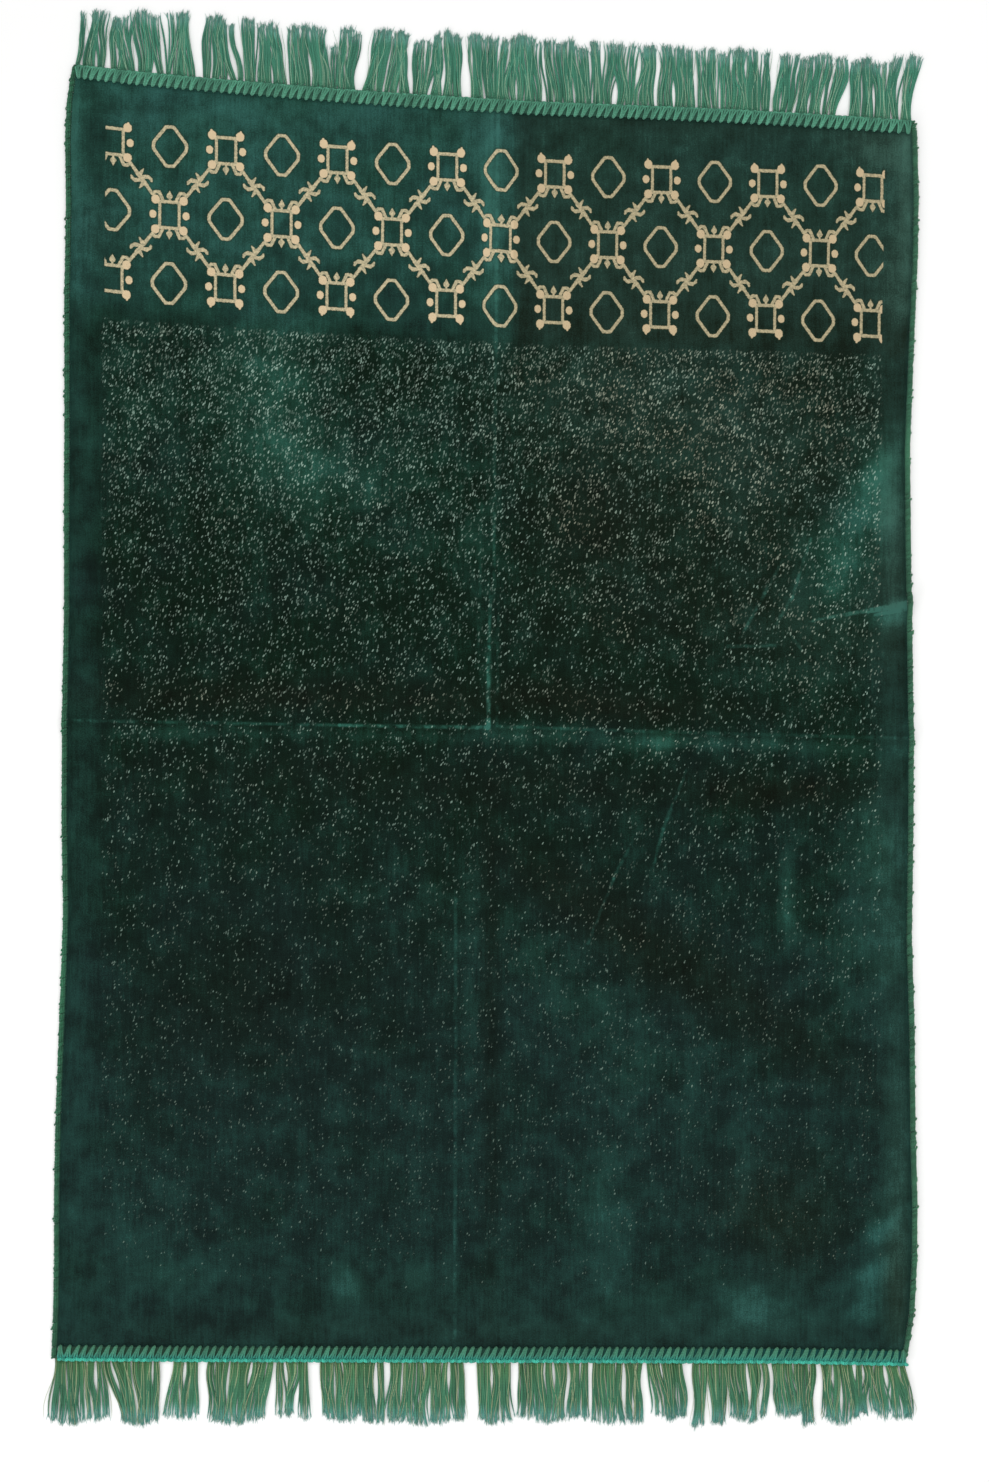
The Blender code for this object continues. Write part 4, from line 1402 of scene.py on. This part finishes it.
def fringe(end, locks, name, yarn, draws, fullness):
    """Bundles of loose yarns: tight at the root, wavy and uneven at the tip, with hairs that fray out."""
    part = np.linspace(0, 1, FRINGE_RINGS)
    thinning = np.interp(part, (0, 0.15, 0.75, 0.9, 1.0), (0.8, 1.0, 0.95, 0.7, 0.3))
    paths, wides, shades = [], [], []
    fray_paths, fray_shades = [], []
    for lock in locks:
        for number in range(lock[-1]):
            bundle = lay_bundle(end, lock, number, draws, fullness)
            for strand in range(BUNDLE_YARNS + BUNDLE_HAIRS):
                hair = strand >= BUNDLE_YARNS
                path = fringe_path(end, bundle, strand, hair, draws)
                paths.append(path)
                wides.append(draws.uniform(*(HAIR_HALF if hair else YARN_HALF)) * thinning)
                shades.append(HAIR_SHADE if hair else 0.4 * bundle.own + 0.6 * draws.random())
                if hair:
                    continue
                # Two hairs fray out of each yarn's end.
                for side in (-1, 1):
                    fray_paths.append(frayed_end(end, side, path, draws))
                    fray_shades.append(draws.uniform(0.7, 1.1))
    wides = np.array(wides)
    yarns = lay_yarns(name, yarn_shape(FRINGE_RINGS, 5), paths, wides, 0.8 * wides, yarn, shades)
    thin = FRAY_HALF * np.interp(np.linspace(0, 1, FRAY_RINGS), (0, 0.6, 1), (1, 0.8, 0.3))
    frays = lay_yarns(name + "_frays", yarn_shape(FRAY_RINGS, 3), fray_paths, thin, thin, yarn, fray_shades)
    # A frayed hair has the colour of a yarn's tip all along.
    frayed = frays.data.attributes["reach"]
    frayed.data.foreach_set("value", np.full(len(frays.data.vertices), 1.0))
    return join(name, yarns, frays)


# ---------------------------------------------------------------- stage

# The floor, in metres. It lies a little lower than the rug, so that the two don't touch.
FLOOR_COLOUR = (0.975, 0.975, 0.97, 1)
FLOOR_WIDE = 8
FLOOR_DOWN = 0.0003
# Soft lamps that face the rug's middle: name, place in metres, width, power in watts.
LAMPS = [
    ("overhead", (0.2, 0.1, 2.6), 3.2, 54.0),
    ("low", (-1.5, -2.1, 1.3), 1.2, 20.0),
]
ROOM_LIGHT = 0.45
CAMERA_PLACE = (0.00787, -0.01906, 1.6)
CAMERA_LENS = 46.91


def lay_floor():
    """A pale floor right under the rug."""
    deselect()
    bpy.ops.mesh.primitive_plane_add(size=FLOOR_WIDE, location=(0, 0, -FLOOR_DOWN))
    floor = bpy.context.object
    floor.name = "floor"
    made, _, shader = bare_material("Pale floor", 0.9, specular=0.1)
    shader.inputs["Base Color"].default_value = FLOOR_COLOUR
    floor.data.materials.append(made)


def hang_lamps():
    """Soft light from above, with a low share from the near left, and the room's own."""
    for name, place, size, power in LAMPS:
        lamp = bpy.data.lights.new(name, "AREA")
        lamp.energy = power
        lamp.size = size
        obj = bpy.data.objects.new(name, lamp)
        bpy.context.scene.collection.objects.link(obj)
        obj.location = place
        obj.rotation_euler = obj.location.to_track_quat("Z", "Y").to_euler()
    world = bpy.data.worlds.new("Studio")
    bpy.context.scene.world = world
    world.use_nodes = True
    room = world.node_tree.nodes["Background"].inputs
    room[0].default_value = (1, 1, 1, 1)
    room[1].default_value = ROOM_LIGHT


def place_camera():
    """The camera straight above the rug."""
    camera = bpy.data.objects.new("camera", bpy.data.cameras.new("camera"))
    bpy.context.scene.collection.objects.link(camera)
    camera.location = CAMERA_PLACE
    camera.data.lens = CAMERA_LENS
    bpy.context.scene.camera = camera
    bpy.context.scene.view_settings.view_transform = "Standard"


# ---------------------------------------------------------------- the rug


def declare(pieces):
    """Tells what each piece rides on and stands for. The first one is the sheet of cloth."""
    for piece, slot, replaced in pieces:
        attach(piece, "root")
        if replaced:
            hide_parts(*replaced)


def main():
    """Makes the materials, the rug's pieces and the studio."""
    line_group = woven_line_group()
    lattice, flecks, twist = lattice_group(line_group), fleck_group(), yarn_group()
    pile, backing = velour_material(lattice, flecks, line_group), backing_material(lattice)
    yarns = {name: yarn_material(name, twist) for name in YARNS}
    left_yarn, right_yarn, top_whip, bottom_whip, chain_yarn, top_yarn, bottom_yarn = yarns.values()

    draws = np.random.default_rng(DRAWS_START)
    cloth = velour_cloth(pile, backing)
    left = serging(-1, "left_serging", left_yarn, draws, -212.0, 42.0)
    right = serging(1, "right_serging", right_yarn, draws, 222.0, 24.0)
    top_heading = whip_stitches(1, TOP_STITCHES, "top_whip_stitches", top_whip, draws, 1.15, -0.45)
    bottom_heading = whip_stitches(
        -1, BOTTOM_STITCHES, "bottom_whip_stitches", bottom_whip, draws, 1.1, -0.58
    )
    top_chain = chain(1, "top_chain", top_whip, draws, 9.3, 0.9, 0.65, 3.1)
    bottom_chain = chain(-1, "bottom_chain", chain_yarn, draws, 10.3, 1.6, 0.85, 4.1)
    top_fringe = fringe(1, TOP_LOCKS, "top_fringe_yarns", top_yarn, draws, 1.4)
    bottom_fringe = fringe(-1, BOTTOM_LOCKS, "bottom_fringe_yarns", bottom_yarn, draws, 1.0)
    declare(
        [
            (cloth, "velour", ["velour_panel"]),
            (left, "serging_yarn", ["side_binding_left"]),
            (right, "serging_yarn", ["side_binding_right"]),
            (top_heading, "whip_stitch_yarn", ["heading_top"]),
            (bottom_heading, "whip_stitch_yarn", ["heading_bottom"]),
            (top_chain, "whip_stitch_yarn", []),
            (bottom_chain, "whip_stitch_yarn", []),
            (top_fringe, "fringe_yarn", ["fringe_top"]),
            (bottom_fringe, "fringe_yarn", ["fringe_bottom"]),
        ]
    )
    lay_floor()
    hang_lamps()
    place_camera()


main()
